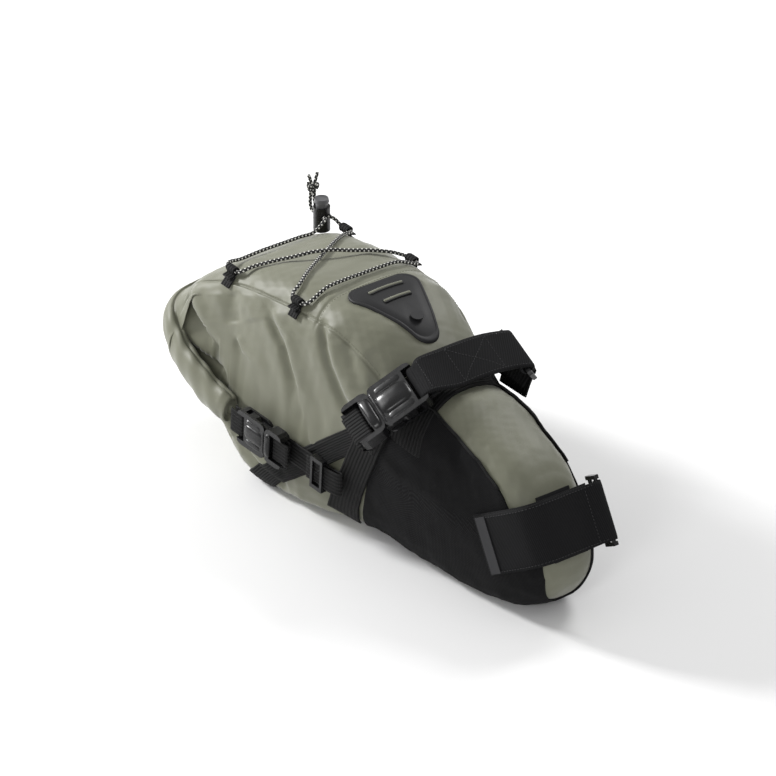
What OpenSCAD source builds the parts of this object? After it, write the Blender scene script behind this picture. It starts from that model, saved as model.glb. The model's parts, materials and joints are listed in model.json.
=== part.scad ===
// Seat pack: a stuffed roll-top bag that straps to saddle rails and a seatpost.
// +X points to the seatpost end, +Y to the rider's left, +Z up, base on Z = 0.

/* [Bag] */
// Length scale of the bag body
bag_length = 500; // [380:5:620]
// Full width of the body at the rear
bag_width = 154; // [110:1:200]
// Height of the body at its crest
bag_height = 212; // [140:1:260]
// Fabric thickness of the shell
wall = 2; // [1.2:0.1:4]
// Thickness of panels and webbing laid on the shell
skin_t = 2.2; // [1.4:0.1:3]

/* [Webbing] */
// Width of the leg webbing
leg_w = 30; // [20:1:38]
// Width of the rail webbing
rail_w = 38; // [25:1:50]
// Width of the closure webbing
clos_w = 25; // [15:1:30]
// Width of the seatpost strap
post_w = 56; // [30:1:70]
// Shock cord diameter
cord_d = 3.4; // [2:0.2:6]

/* [Buckles] */
// Length of the rail buckle
rail_len = 74; // [55:1:90]
// Thickness of the rail buckle
rail_t = 12; // [9:0.5:16]
// Length of the closure buckles
clos_len = 62; // [45:1:75]
// Thickness of the closure buckles
clos_t = 11; // [8:0.5:14]
// Height of the cord lock barrel
lock_h = 24; // [18:1:30]

/* [Hidden] */
$fn = 40;
sx = bag_length / 500;
sy = bag_width / 154;
sz = bag_height / 212;
shift = [2.87, 0, 0];
ring_n = 40;
// Stations: x, top, bottom, half width, top squareness, front lean
ST = [
  [-243, 136, 104, 68, 3.0, 0],
  [-236, 149, 94, 72, 3.2, 0],
  [-222, 165, 79, 75, 3.8, 0],
  [-200, 180, 58, 77, 4.4, 0],
  [-178, 190, 34, 78, 4.8, 0],
  [-150, 198, 10, 80, 5.0, 0],
  [-125, 203, 2, 80, 5.0, 0],
  [-95, 208, 0, 80, 5.0, 0],
  [-55, 212, 0, 78.5, 4.6, 0],
  [-15, 212, 0, 75, 4.2, 0],
  [20, 204, 0, 71, 3.0, 0],
  [48, 187, 0, 67, 2.35, 0],
  [70, 175, 0, 64, 2.3, 0.02],
  [92, 168, 0, 61, 2.3, 0.05],
  [118, 165, 0, 57, 2.5, 0.12],
  [145, 161, 0, 52, 2.8, 0.22],
  [170, 156, 4, 47, 2.9, 0.34],
  [190, 151, 13, 43, 3.0, 0.45],
  [206, 146, 27, 39, 3.0, 0.52],
  [217, 139, 42, 34, 3.0, 0.55],
  [223, 129, 57, 28, 2.8, 0.55]
];
nST = len(ST);

function sgn_pow(v, e) = (v < 0 ? -1 : 1) * pow(abs(v), e);
function mid_z(s) = sz * (s[1] + s[2]) / 2;
function half_z(s) = sz * (s[1] - s[2]) / 2;
// Squareness of the lower half, softer where the leg webbing pulls in and at the nose
function low_n(s) = lookup(s[0], [[-200, 4.6], [-130, 7.5], [-50, 6.5], [0, 3.8], [30, 3.2], [90, 3.8], [150, 3.8], [223, 2.9]]);
// Sag: the sides lean out towards the bottom by this share of the half width
function sag(s) = lookup(s[0], [[-230, 0], [-150, 0.08], [-30, 0.08], [40, 0]]);
function spread(s, v) = 1 - sag(s) * v * (v < 0 ? 1.6 : 1);
function ring_pt(s, o, a) =
  let (
    n = sin(a) >= 0 ? s[4] : low_n(s),
    v = sgn_pow(sin(a), 2 / n),
    y = (sy * s[3] * spread(s, v) + o) * sgn_pow(cos(a), 2 / n),
    z0 = mid_z(s) + (half_z(s) + o) * v,
    z = max(z0, skin_t - o)
  )
  [sx * s[0] + s[5] * (mid_z(s) - z), y, z];
function ring(s, o) = [for (j = [0 : ring_n - 1]) ring_pt(s, o, 360 * (j + 0.5) / ring_n)];
function lerp(a, b, t) = a + (b - a) * t;
function find_st(x, i = 0) = (i >= nST - 2 || x < sx * ST[i + 1][0]) ? i : find_st(x, i + 1);
function st_at(x) =
  let (i = find_st(x), t = (x / sx - ST[i][0]) / (ST[i + 1][0] - ST[i][0]))
  lerp(ST[i], ST[i + 1], t);
// Height of the top surface over a point
function top_z(x, y) =
  let (s = st_at(x), q = min(0.98, abs(y) / (sy * s[3] * spread(s, 1))))
  mid_z(s) + half_z(s) * pow(1 - pow(q, s[4]), 1 / s[4]);
// Half width of the body at a height
function side_y(x, z) =
  let (s = st_at(x), n = z > mid_z(s) ? s[4] : low_n(s), q = min(0.98, abs(z - mid_z(s)) / half_z(s)))
  sy * s[3] * spread(s, (z - mid_z(s)) / half_z(s)) * pow(1 - pow(q, n), 1 / n);

function wall_faces(n, m, base = 0) = [
  for (i = [0 : n - 2], j = [0 : m - 1], k = [0, 1])
    let (a = base + i * m + j, b = base + i * m + (j + 1) % m, c = a + m, d = b + m)
    k == 0 ? [a, b, d] : [a, d, c]
];

// Body-shaped solid from station i0 to i1, grown by o
module loft(i0, i1, o) {
  m = ring_n;
  n = i1 - i0 + 1;
  pts = [for (i = [i0 : i1]) each ring(ST[i], o)];
  caps = [[for (j = [m - 1 : -1 : 0]) j], [for (j = [0 : m - 1]) (n - 1) * m + j]];
  polyhedron(pts, concat([for (f = wall_faces(n, m)) [f[2], f[1], f[0]]], [for (c = caps) [for (k = [m - 1 : -1 : 0]) c[k]]]));
}

// Layer lying on the body between offsets o1 and o2
module skin(i0, i1, o1, o2) {
  difference() {
    loft(i0, i1, o2);
    loft(i0, i1, o1);
  }
}

// Strap through rows of [centre, half width vector, half thickness vector]
module ribbon(rows) {
  n = len(rows);
  pts = [for (r = rows) each [r[0] + r[1] + r[2], r[0] - r[1] + r[2], r[0] - r[1] - r[2], r[0] + r[1] - r[2]]];
  caps = [[0, 1, 2, 3], [for (k = [3 : -1 : 0]) (n - 1) * 4 + k]];
  polyhedron(pts, concat([for (f = wall_faces(n, 4)) [f[2], f[1], f[0]]], caps));
}

// Flat strap bent in one plane: path of [u, v] points, width w, thickness t
module bent_strap(path, w, t) {
  n = len(path);
  nrm = [for (i = [0 : n - 1])
    let (a = path[max(0, i - 1)], b = path[min(n - 1, i + 1)], d = (b - a) / norm(b - a))
    [-d[1], d[0]]];
  outline = concat(
    [for (i = [0 : n - 1]) path[i] + nrm[i] * t / 2],
    [for (i = [n - 1 : -1 : 0]) path[i] - nrm[i] * t / 2]
  );
  rotate([90, 0, 0]) translate([0, 0, -w / 2]) linear_extrude(w) polygon(outline);
}

// Round cord through points
module tube(path, r, sides) {
  n = len(path);
  tan_v = [for (i = [0 : n - 1])
    let (d = path[min(n - 1, i + 1)] - path[max(0, i - 1)]) d / norm(d)];
  pts = [for (i = [0 : n - 1])
    let (
      t = tan_v[i],
      up = abs(t[2]) > 0.8 ? [1, 0, 0] : [0, 0, 1],
      u = cross(t, up) / norm(cross(t, up)),
      v = cross(t, u)
    )
    each [for (j = [0 : sides - 1]) path[i] + r * (cos(360 * j / sides) * u + sin(360 * j / sides) * v)]];
  caps = [[for (j = [0 : sides - 1]) j], [for (j = [sides - 1 : -1 : 0]) (n - 1) * sides + j]];
  polyhedron(pts, concat([for (f = wall_faces(n, sides)) [f[2], f[1], f[0]]], caps));
}

function chaikin(p) = concat(
  [p[0]],
  [for (i = [0 : len(p) - 2]) each [lerp(p[i], p[i + 1], 0.25), lerp(p[i], p[i + 1], 0.75)]],
  [p[len(p) - 1]]
);

module side(s) {
  if (s > 0) mirror([0, 1, 0]) children();
  else children();
}

// ---------------------------------------------------------------- body

module shell() {
  m = ring_n;
  outer = [for (i = [0 : nST - 1]) each ring(ST[i], 0)];
  inner = [for (i = [0 : nST - 1]) each [for (p = ring(ST[i], -wall)) p - [i == nST - 1 ? wall * 1.4 : 0, 0, 0]]];
  base = nST * m;
  out_f = [for (f = wall_faces(nST, m)) [f[2], f[1], f[0]]];
  in_f = wall_faces(nST, m, base);
  lip = [for (j = [0 : m - 1], k = [0, 1])
    let (a = j, b = (j + 1) % m, c = base + j, d = base + (j + 1) % m)
    k == 0 ? [a, b, d] : [a, d, c]];
  cap_o = [[for (j = [m - 1 : -1 : 0]) (nST - 1) * m + j]];
  cap_i = [[for (j = [0 : m - 1]) base + (nST - 1) * m + j]];
  color([0.5, 0.5, 0.44]) translate(shift) polyhedron(concat(outer, inner), concat(out_f, in_f, lip, cap_o, cap_i));
}

// Region of the black panel seen from the side
PANEL = [[6, -5], [44, 128], [60, 158], [96, 160], [144, 150], [182, 138], [203, 124], [226, 80], [222, 40], [190, -5]];

module reinforcement_panel() {
  color([0.1, 0.1, 0.11]) translate(shift) intersection() {
    skin(9, nST - 1, 0.2, skin_t);
    rotate([90, 0, 0]) translate([0, 0, -100]) linear_extrude(200) polygon(PANEL);
    difference() {
      translate([-10, -100, -1]) cube([300, 200, 220]);
      rotate([90, 0, 0]) translate([0, 0, -200]) linear_extrude(400) leg_plan(0.3);
      translate([60, -24, 100]) cube([200, 48, 100]);
    }
  }
}

// Slanted front leg of the rail webbing, seen from the side
module leg_plan(g) {
  polygon([[-24 - g, -6], [13 + g, -6], [62 + g, 124], [50 + g, 140], [24 - g, 136]]);
}

// Diagonal leg that runs down under the belly
module diagonal_plan(g) {
  polygon([[-140 - g, -6], [-98 + g, -6], [34, 108], [42, 128], [20, 130]]);
}

module leg(s) {
  h = leg_w / 2 - 0.6;
  rows = [for (z = [30 : 7 : 121])
    let (x = -4 + 0.39 * z, y0 = side_y(x - h, z) + 2.6, y1 = side_y(x + h, z) + 2.6)
    [[x, -(y0 + y1) / 2, z], [h * 0.93, -(y1 - y0) / 2, -h * 0.36], [0, 0.6, 0]]];
  color([0.08, 0.08, 0.08]) translate(shift) side(s) ribbon(rows);
}

module leg_right() { leg(-1); }
module leg_left() { leg(1); }

module belly_strap() {
  color([0.08, 0.08, 0.08]) translate(shift) intersection() {
    skin(4, 12, 0.2, skin_t);
    rotate([90, 0, 0]) translate([0, 0, -100]) linear_extrude(200) difference() {
      diagonal_plan(0);
      leg_plan(0.3);
    }
  }
}

module top_webbing() {
  color([0.08, 0.08, 0.08]) translate(shift) intersection() {
    skin(11, 14, 0.2, skin_t);
    translate([57, -100, 165 * sz]) cube([38, 200, 60]);
  }
}

// Height of the lofted top over a point, found by halving the ring angle
function loft_pt(x, a) =
  let (i = find_st(x), t = (x / sx - ST[i][0]) / (ST[i + 1][0] - ST[i][0]))
  lerp(ring_pt(ST[i], 0, a), ring_pt(ST[i + 1], 0, a), t);
function loft_z(x, y, low = 20, high = 160, turns = 14) =
  let (a = (low + high) / 2, p = loft_pt(x, a))
  turns == 0 ? p[2] : p[1] > y ? loft_z(x, y, a, high, turns - 1) : loft_z(x, y, low, a, turns - 1);

// Outline of the patch: a triangle with rounded corners, as [x, y, radius, first angle]
patch_corners = [[30, 0, 13, -63], [-29, 23, 14, 63], [-29, -23, 14, 186]];
function corner_pt(c, i) =
  let (a = c[3] + i * (c[1] == 0 ? 18 : 16)) [c[0] + c[2] * cos(a), c[1] + c[2] * sin(a)];
patch_outline = [for (k = [0 : 2]) let (c = patch_corners[k], d = patch_corners[(k + 1) % 3])
  each concat([for (i = [0 : 7]) corner_pt(c, i)], [for (t = [1 : 7]) lerp(corner_pt(c, 7), corner_pt(d, 0), t / 8)])];

module light_patch() {
  m = len(patch_outline);
  steps = 8;
  rows = concat([for (k = [0 : steps]) [0.04 + 0.96 * k / steps, 0.6]], [for (k = [steps : -1 : 0]) [0.04 + 0.96 * k / steps, 2.6]]);
  pts = [for (r = rows, q = patch_outline)
    let (x = q[0] * r[0], y = q[1] * r[0]) [x, y, loft_z(x, y) + r[1]]];
  caps = [[for (k = [0 : m - 1]) k], [for (k = [0 : m - 1]) len(rows) * m - 1 - k]];
  color([0.17, 0.17, 0.18]) translate(shift) difference() {
    polyhedron(pts, concat([for (f = wall_faces(len(rows), m)) [f[2], f[1], f[0]]], caps));
    for (x = [-27, -3]) translate([x, -17, 150]) cube([3, 34, 100]);
  }
}

module patch_badge() {
  color([0.3, 0.3, 0.3]) translate(shift) translate([20, 0, top_z(20, 0) + 3.1]) rotate([0, 12, 0]) cylinder(h = 1, r = 6);
}

module bottom_stiffener() {
  color([0.2, 0.2, 0.22]) translate(shift) translate([-80, -20, skin_t + wall + 0.4]) cube([180, 40, 1.6]);
}

// Rolled mouth across the rear with both ends turned forward along the sides
ROLL = [
  [-137, -94.5, 71], [-160, -95.5, 76], [-192, -95, 86], [-222, -90, 98], [-243, -82, 108],
  [-253.5, -68, 115], [-256, -48, 118], [-256, -24, 119], [-256, 0, 119]
];

module roll_top() {
  half = [for (i = [0 : len(ROLL) - 1]) ROLL[i]];
  full = concat(half, [for (i = [len(ROLL) - 2 : -1 : 0]) [half[i][0], -half[i][1], half[i][2]]]);
  n = len(full);
  m = 24;
  tv = [for (i = [0 : n - 1]) let (d = full[min(n - 1, i + 1)] - full[max(0, i - 1)]) d / norm(d)];
  pts = [for (i = [0 : n - 1])
    let (u = cross(tv[i], [0, 0, 1]), un = u / norm(u), v = cross(un, tv[i]), e = (i == 0 || i == n - 1) ? 0.86 : 1)
    each [for (j = [0 : m - 1]) full[i] + e * (9 * cos(360 * j / m) * un + 16 * sin(360 * j / m) * v)]];
  caps = [[for (j = [m - 1 : -1 : 0]) j], [for (j = [0 : m - 1]) (n - 1) * m + j]];
  faces = wall_faces(n, m);
  color([0.46, 0.46, 0.4]) translate(shift) polyhedron(pts, concat(faces, caps));
}

// ---------------------------------------------------------------- shock cord

loop_y = 64;
rear_x = -172;
mid_x = -72;
loop_l = 12;
lock_x = -200;
lock_y = 57;
lock_z = 181;
cord_z = lock_z + 16;
hole_dy = 3;
rear_z = top_z(rear_x, loop_y) + 7.8;
midl_z = top_z(mid_x, loop_y) + 8.2;

function over(x, y, g) = [x, y, top_z(x, y) + cord_d / 2 + g];
function run(x0, y0, x1, y1, n, bump) = [for (i = [1 : n - 1])
  let (t = i / n, x = lerp(x0, x1, t), y = lerp(y0, y1, t)) over(x, y, 2.6 + bump * exp(-pow((t - 0.5) / 0.13, 2)))];

CORD = concat(
  [[lock_x - 8.5, lock_y + hole_dy, cord_z], [lock_x, lock_y + hole_dy, cord_z], [lock_x + 8.5, lock_y + hole_dy, cord_z],
   [rear_x - 15, loop_y - 1.5, rear_z + 5], [rear_x - 8, loop_y, rear_z + 0.3], [rear_x - 5, loop_y, rear_z], [rear_x + 6, loop_y, rear_z],
   [rear_x + 12, loop_y - 4, rear_z + 2.6]],
  run(rear_x + 6, loop_y, mid_x - 6, -loop_y, 9, 0),
  [[mid_x - 12, -loop_y + 4, midl_z + 2], [mid_x - 6, -loop_y, midl_z], [mid_x + 6, -loop_y, midl_z], [mid_x + 11, -loop_y + 5, midl_z + 2]],
  run(mid_x + 11, -loop_y + 4, mid_x + 11, loop_y - 4, 6, 0),
  [[mid_x + 11, loop_y - 5, midl_z + 2], [mid_x + 6, loop_y, midl_z], [mid_x - 6, loop_y, midl_z], [mid_x - 12, loop_y - 4, midl_z + 1.5]],
  run(mid_x - 6, loop_y, rear_x + 6, -loop_y, 9, cord_d + 1.6),
  [[rear_x + 12, -loop_y + 4, rear_z + 2.6], [rear_x + 6, -loop_y, rear_z], [rear_x - 6, -loop_y, rear_z], [rear_x - 13, -loop_y + 6, rear_z]],
  [for (y = [-44, -22, 0, 22, 38]) [rear_x - 15, y, top_z(rear_x - 15, y) + cord_d / 2 + 2.2]],
  [[rear_x - 15, 49, cord_z - 1], [lock_x + 8.5, lock_y - hole_dy, cord_z], [lock_x, lock_y - hole_dy, cord_z], [lock_x - 8.5, lock_y - hole_dy, cord_z]]
);

module bungee_cord() {
  color([0.1, 0.1, 0.1]) translate(shift) tube(chaikin(CORD), cord_d / 2, 8);
}

function tail_path(s) = [
  [lock_x - 9, lock_y + s * hole_dy, cord_z], [lock_x - 12, lock_y + s * hole_dy, cord_z + 1.5],
  [lock_x - 14, lock_y + s * 2.6, cord_z + 5], [lock_x - 14.5, lock_y + s * 2.3, cord_z + 11], [lock_x - 14, lock_y + s * 2.1, cord_z + 17]
];

module cord_tails() {
  color([0.1, 0.1, 0.1]) translate(shift) for (s = [-1, 1]) tube(chaikin(tail_path(s)), cord_d / 2, 8);
}

module cord_knot() {
  color([0.1, 0.1, 0.1]) translate(shift) translate([lock_x - 13.4, lock_y, cord_z + 22.6]) {
    scale([1, 1.15, 1]) sphere(5, $fn = 32);
    for (s = [-1, 1]) rotate([s * -16, 0, 0]) translate([0, s * 2.2, 3]) cylinder(h = 11, d = cord_d);
  }
}

// Webbing loop that holds the cord, axis along X
module cord_loop(x, s, z) {
  color([0.08, 0.08, 0.08]) translate(shift) translate([x, s * loop_y, z]) rotate([0, 90, 0]) difference() {
    union() {
      translate([0, 0, -loop_l / 2]) cylinder(h = loop_l, r = 4.4);
      translate([-1.2, s > 0 ? 0 : -9, -loop_l / 2]) cube([5.4, 9, loop_l]);
    }
    translate([0, 0, -loop_l]) cylinder(h = 2 * loop_l, r = 3);
  }
}

module loop_rear_right() { cord_loop(rear_x, -1, rear_z); }
module loop_rear_left() { cord_loop(rear_x, 1, rear_z); }
module loop_mid_right() { cord_loop(mid_x, -1, midl_z); }
module loop_mid_left() { cord_loop(mid_x, 1, midl_z); }

module cord_lock_body() {
  color([0.1, 0.1, 0.1]) translate(shift) translate([lock_x, lock_y, lock_z]) difference() {
    cylinder(h = lock_h, r = 8);
    translate([0, 0, 2]) cylinder(h = lock_h, r = 6);
    for (s = [-1, 1]) translate([-12, s * hole_dy, 16]) rotate([0, 90, 0]) cylinder(h = 24, r = cord_d / 2 + 0.5);
  }
}

module cord_lock_button() {
  color([0.25, 0.25, 0.26]) translate(shift) translate([lock_x, lock_y, lock_z]) difference() {
    union() {
      translate([0, 0, 12]) cylinder(h = 17, r = 5.6);
      translate([0, 0, 29]) cylinder(h = 3.4, r1 = 7.2, r2 = 6.4);
    }
    translate([-10, -hole_dy - cord_d / 2 - 0.6, 13.8]) cube([20, 2 * hole_dy + cord_d + 1.2, 8.9]);
  }
}

module cord_lock_spring() {
  turns = 4;
  r = 4.2;
  pts = [for (i = [0 : 10 * turns]) [r * cos(36 * i), r * sin(36 * i), 2.7 + 8.6 * i / (10 * turns)]];
  color([0.7, 0.7, 0.72]) translate(shift) translate([lock_x, lock_y, lock_z]) tube(pts, 0.45, 6);
}

// ---------------------------------------------------------------- buckles
// Local frame: X from the fixed strap towards the socket strap, mouth at X = 0.

module rounded_plate(x0, x1, w, t, r) {
  translate([0, 0, -t / 2]) linear_extrude(t) polygon([
    [x0, -w / 2 + r], [x0 + 0.3 * r, -w / 2 + 0.3 * r], [x0 + r, -w / 2], [x1 - r, -w / 2], [x1 - 0.3 * r, -w / 2 + 0.3 * r], [x1, -w / 2 + r],
    [x1, w / 2 - r], [x1 - 0.3 * r, w / 2 - 0.3 * r], [x1 - r, w / 2], [x0 + r, w / 2], [x0 + 0.3 * r, w / 2 - 0.3 * r], [x0, w / 2 - r]
  ]);
}

// Socket half: open sided so the prongs can run out
module socket(len_b, w, t) {
  lf = 0.62 * len_b;
  lp = 0.46 * len_b;
  difference() {
    rounded_plate(0.2, lf, w + 11, t, 5);
    translate([-1, -w, -t / 2 + 2.2]) cube([lp + 2, 2 * w, t - 4.4]);
    translate([lf - 10, -w / 2 - 0.5, -t]) cube([6, w + 1, 2 * t]);
    translate([lf - 4.2, -w / 2 - 0.5, 1.6]) cube([6, w + 1, t]);
    translate([lf - 4.2, -w / 2 - 0.5, -t - 1.6]) cube([6, w + 1, t]);
  }
}

// Plug half without its prongs: base, centre tongue and ladder bars
module plug(len_b, w, t) {
  lm = 0.38 * len_b;
  lp = 0.46 * len_b;
  difference() {
    rounded_plate(-lm, -0.2, w + 11, t, 6);
    translate([-lm + 4, -w / 2 - 0.5, -t]) cube([5, w + 1, 2 * t]);
    translate([-lm + 12.4, -w / 2 - 0.5, -t]) cube([4.6, w + 1, 2 * t]);
    translate([-lm - 1, -w / 2 - 0.5, 1.6]) cube([14, w + 1, t]);
    translate([-lm - 1, -w / 2 - 0.5, -t - 1.6]) cube([14, w + 1, t]);
    for (s = [-1, 1]) translate([-5.6, s * (w / 2 + 0.4) - 2.6, -t / 2 + 2.2]) cube([7, 5.2, t - 4.4]);
  }
  translate([-0.3, -3, -t / 2 + 2.7]) cube([lp - 1, 6, t - 5.4]);
}

// Sprung prong at side s with a bulged pressing face
module prong(len_b, w, t, s) {
  lp = 0.46 * len_b;
  y0 = w / 2 - 1.8;
  translate([0, 0, -t / 2 + 2.7]) linear_extrude(t - 5.4) polygon([
    [-5.2, s * y0], [-5.2, s * (y0 + 4)], [0.4 * lp, s * (y0 + 4)], [0.55 * lp, s * (y0 + 7)], [0.85 * lp, s * (y0 + 7)],
    [lp, s * (y0 + 1)], [lp, s * (y0 - 2)], [0.6 * lp, s * (y0 + 0.4)]
  ]);
}

// Webbing folded round a bar centred at x = 0; legs run along X
module fold(w, reach_lo, reach_hi, t) {
  h = 1.6 + 0.35 + t / 2;
  bent_strap([[-reach_lo, -h], [0, -h], [0.8 + h * 0.75, -h * 0.75], [0.8 + h, 0], [0.8 + h * 0.75, h * 0.75], [0, h], [-reach_hi, h]], w, t);
}

// Rail buckle, leaning over the right shoulder
rail_o = [62.9, -74.9, 154.2];
rail_x = [0.3007, 0.7919, 0.5313];
rail_y = [-0.9485, 0.1901, 0.2535];
rail_n = [0.0997, -0.5801, 0.8084];

module at_rail() {
  translate(shift) multmatrix([
    [rail_x[0], rail_y[0], rail_n[0], rail_o[0]],
    [rail_x[1], rail_y[1], rail_n[1], rail_o[1]],
    [rail_x[2], rail_y[2], rail_n[2], rail_o[2]]
  ]) children();
}
function rail_pt(x, y, z) = rail_o + x * rail_x + y * rail_y + z * rail_n;

module rail_socket() { color([0.06, 0.06, 0.06]) at_rail() socket(rail_len, rail_w, rail_t); }
module rail_plug() { color([0.07, 0.07, 0.07]) at_rail() plug(rail_len, rail_w, rail_t); }
module rail_prong_front() { color([0.09, 0.09, 0.09]) at_rail() prong(rail_len, rail_w, rail_t, -1); }
module rail_prong_rear() { color([0.09, 0.09, 0.09]) at_rail() prong(rail_len, rail_w, rail_t, 1); }
module rail_plug_loop() {
  color([0.08, 0.08, 0.08]) at_rail() translate([-0.38 * rail_len + 10.8, 0, 0]) fold(rail_w - 1, 15, 13, 1.6);
}

// Static webbing from the legs up behind the plug
module rail_link() {
  h = (rail_w - 4) / 2;
  pts = [rail_pt(-4, 0, -8.6), rail_pt(-20, 0, -8.6), rail_pt(-31, 0, -9.6), [44, -81, 121.5], [40, -76, 113]];
  color([0.08, 0.08, 0.08]) translate(shift) ribbon([
    [pts[0], -h * rail_y, 0.8 * rail_n], [pts[1], -h * rail_y, 0.8 * rail_n], [pts[2], -h * rail_y, 0.8 * rail_n],
    [pts[3], h * [0.93, 0.06, -0.35], 0.8 * [0, -0.95, 0.3]], [pts[4], h * [0.9, 0.02, -0.42], 0.8 * [0, -1, 0.05]]
  ]);
}

// Padded strap: round the socket bar, over the top and round the far ring
strap_h = 21;
ring_c = [79, 67.5, 171];
ring_b = [0.88, 0, -0.475];
ring_u = [-0.373, 0.62, -0.691];
ring_n_v = [0.2945, 0.785, 0.5456];
function ring_at(u, v) = ring_c + u * ring_u + v * ring_n_v;

module rail_strap() {
  lf = 0.62 * rail_len;
  t = 1.5;
  hr = strap_h * ring_b;
  hy = -(rail_w / 2 - 0.5) * rail_y;
  hm = (hr + hy) / 2;
  function row(p, h, n) = [p, h, t * n];
  color([0.07, 0.07, 0.07]) translate(shift) ribbon([
    row(rail_pt(lf + 9, 0, -3.7), hy, -rail_n),
    row(rail_pt(lf + 1, 0, -3.7), hy, -rail_n),
    row(rail_pt(lf - 4.2, 0, -3.2), hy, (-rail_x - rail_n * 1.6) / 1.9),
    row(rail_pt(lf - 6.6, 0, 0), hy, -rail_x),
    row(rail_pt(lf - 4.2, 0, 3.2), hy, (-rail_x + rail_n * 1.6) / 1.9),
    row(rail_pt(lf + 1, 0, 3.7), hy, rail_n),
    row(rail_pt(lf + 9, 0, 4), hm, [0.25, -0.45, 0.86]),
    row([82, -13, 186], hr, [0.47, -0.1, 0.87]),
    row([82, 6, 186.4], hr, [0.475, 0, 0.88]),
    row([81.5, 28, 185.5], hr, [0.47, 0.08, 0.87]),
    row([81, 46, 183], hr, [0.44, 0.3, 0.84]),
    row(ring_at(-9, 5.2), hr, ring_n_v),
    row(ring_at(-4.6, 3.6), hr, (ring_n_v + ring_u) / 1.414),
    row(ring_at(-2.8, 0), hr, ring_u),
    row(ring_at(-4.6, -3.6), hr, (-ring_n_v + ring_u) / 1.414),
    row(ring_at(-10, -4.4), hr, -ring_n_v),
    row(ring_at(-18, -4.4), hr, -ring_n_v)
  ]);
}

module rail_ring() {
  color([0.06, 0.06, 0.06]) translate(shift) multmatrix([
    [ring_u[0], -ring_b[0], ring_n_v[0], ring_c[0]],
    [ring_u[1], -ring_b[1], ring_n_v[1], ring_c[1]],
    [ring_u[2], -ring_b[2], ring_n_v[2], ring_c[2]]
  ]) difference() {
    rounded_plate(-10.4, 10.4, 2 * strap_h + 10, 4, 3);
    translate([-6.6, -strap_h - 0.6, -5]) cube([6.2, 2 * strap_h + 1.2, 10]);
    translate([3.4, -strap_h - 0.6, -5]) cube([4, 2 * strap_h + 1.2, 10]);
  }
}

module rail_ring_tab() {
  hx = [strap_h - 2, 0, 0];
  hb = (strap_h - 2) * ring_b;
  hh = (hx + hb) / 2;
  t = 0.8;
  color([0.08, 0.08, 0.08]) translate(shift) ribbon([
    [[74, 66.2, 134], hx, t * [0, 1, 0]],
    [[74.5, 72, 151], hh, t * [0.1, 0.98, 0.1]],
    [ring_at(10.4, 4.2), hb, t * [0.2, 0.9, 0.4]],
    [ring_at(6, 3), hb, t * ring_n_v],
    [ring_at(4.6, 0), hb, t * -ring_u],
    [ring_at(6, -3), hb, t * -ring_n_v],
    [ring_at(12, -3.4), hb, t * -ring_n_v],
    [[72, 64, 144], hx, t * [0, -1, 0]]
  ]);
}

// Closure buckles, one each side, X of the local frame pointing to the rear
clos_o = [-76, -95, 66];

module at_closure(s) {
  translate(shift) side(s) translate(clos_o) rotate([0, 4.2, 0]) rotate([0, 0, -176.2]) rotate([-90, 0, 0]) children();
}

module closure_socket(s) { color([0.06, 0.06, 0.06]) at_closure(s) socket(clos_len, clos_w, clos_t); }
module closure_plug(s) { color([0.07, 0.07, 0.07]) at_closure(s) plug(clos_len, clos_w, clos_t); }
module closure_prong(s, u) { color([0.09, 0.09, 0.09]) at_closure(s) prong(clos_len, clos_w, clos_t, u); }
module closure_plug_loop(s) {
  color([0.08, 0.08, 0.08]) at_closure(s) translate([-0.38 * clos_len + 10.8, 0, 0]) fold(clos_w - 1, 14, 18, 1.6);
}
// Tab sewn into the rolled end, folded round the socket bar
module closure_tab(s) {
  color([0.08, 0.08, 0.08]) at_closure(s) translate([0.62 * clos_len - 2, 0, 0]) mirror([1, 0, 0]) fold(clos_w - 1, 13, 13, 1.6);
}
// Strap sewn to the panel: long lower layer and a short upper tail layer
module closure_strap(s) {
  color([0.08, 0.08, 0.08]) at_closure(s) bent_strap([
    [-10, -6.9], [-80, -6.9], [-90, -8.4], [-94, -7.2], [-90, -4.6], [-80, -3], [-50, -3]
  ], clos_w - 1, 1.3);
}
module tri_glide(s) {
  color([0.06, 0.06, 0.06]) at_closure(s) translate([-66, 0, 0]) {
    for (u = [-1, 1]) translate([-8, u * (clos_w / 2 + 2) - 2, -6.2]) cube([16, 4, 6.2]);
    translate([-1.4, -clos_w / 2 - 2, -5.9]) cube([2.8, clos_w + 4, 2]);
    for (x = [-8, 5.2]) translate([x, -clos_w / 2 - 2, -2]) cube([2.8, clos_w + 4, 2]);
  }
}

module socket_right() { closure_socket(-1); }
module plug_right() { closure_plug(-1); }
module prong_right_upper() { closure_prong(-1, -1); }
module prong_right_lower() { closure_prong(-1, 1); }
module plug_loop_right() { closure_plug_loop(-1); }
module closure_tab_right() { closure_tab(-1); }
module closure_strap_right() { closure_strap(-1); }
module tri_glide_right() { tri_glide(-1); }
module socket_left() { closure_socket(1); }
module plug_left() { closure_plug(1); }
module prong_left_upper() { closure_prong(1, -1); }
module prong_left_lower() { closure_prong(1, 1); }
module plug_loop_left() { closure_plug_loop(1); }
module closure_tab_left() { closure_tab(1); }
module closure_strap_left() { closure_strap(1); }
module tri_glide_left() { tri_glide(1); }

// ---------------------------------------------------------------- seatpost end
// Local frame: X out of the nose face, Z up along the seatpost.

lean = atan(0.55);
post_o = [226.3, 0, 91];

module at_post() {
  translate(shift) translate(post_o) rotate([0, -lean, 0]) children();
}
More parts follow.
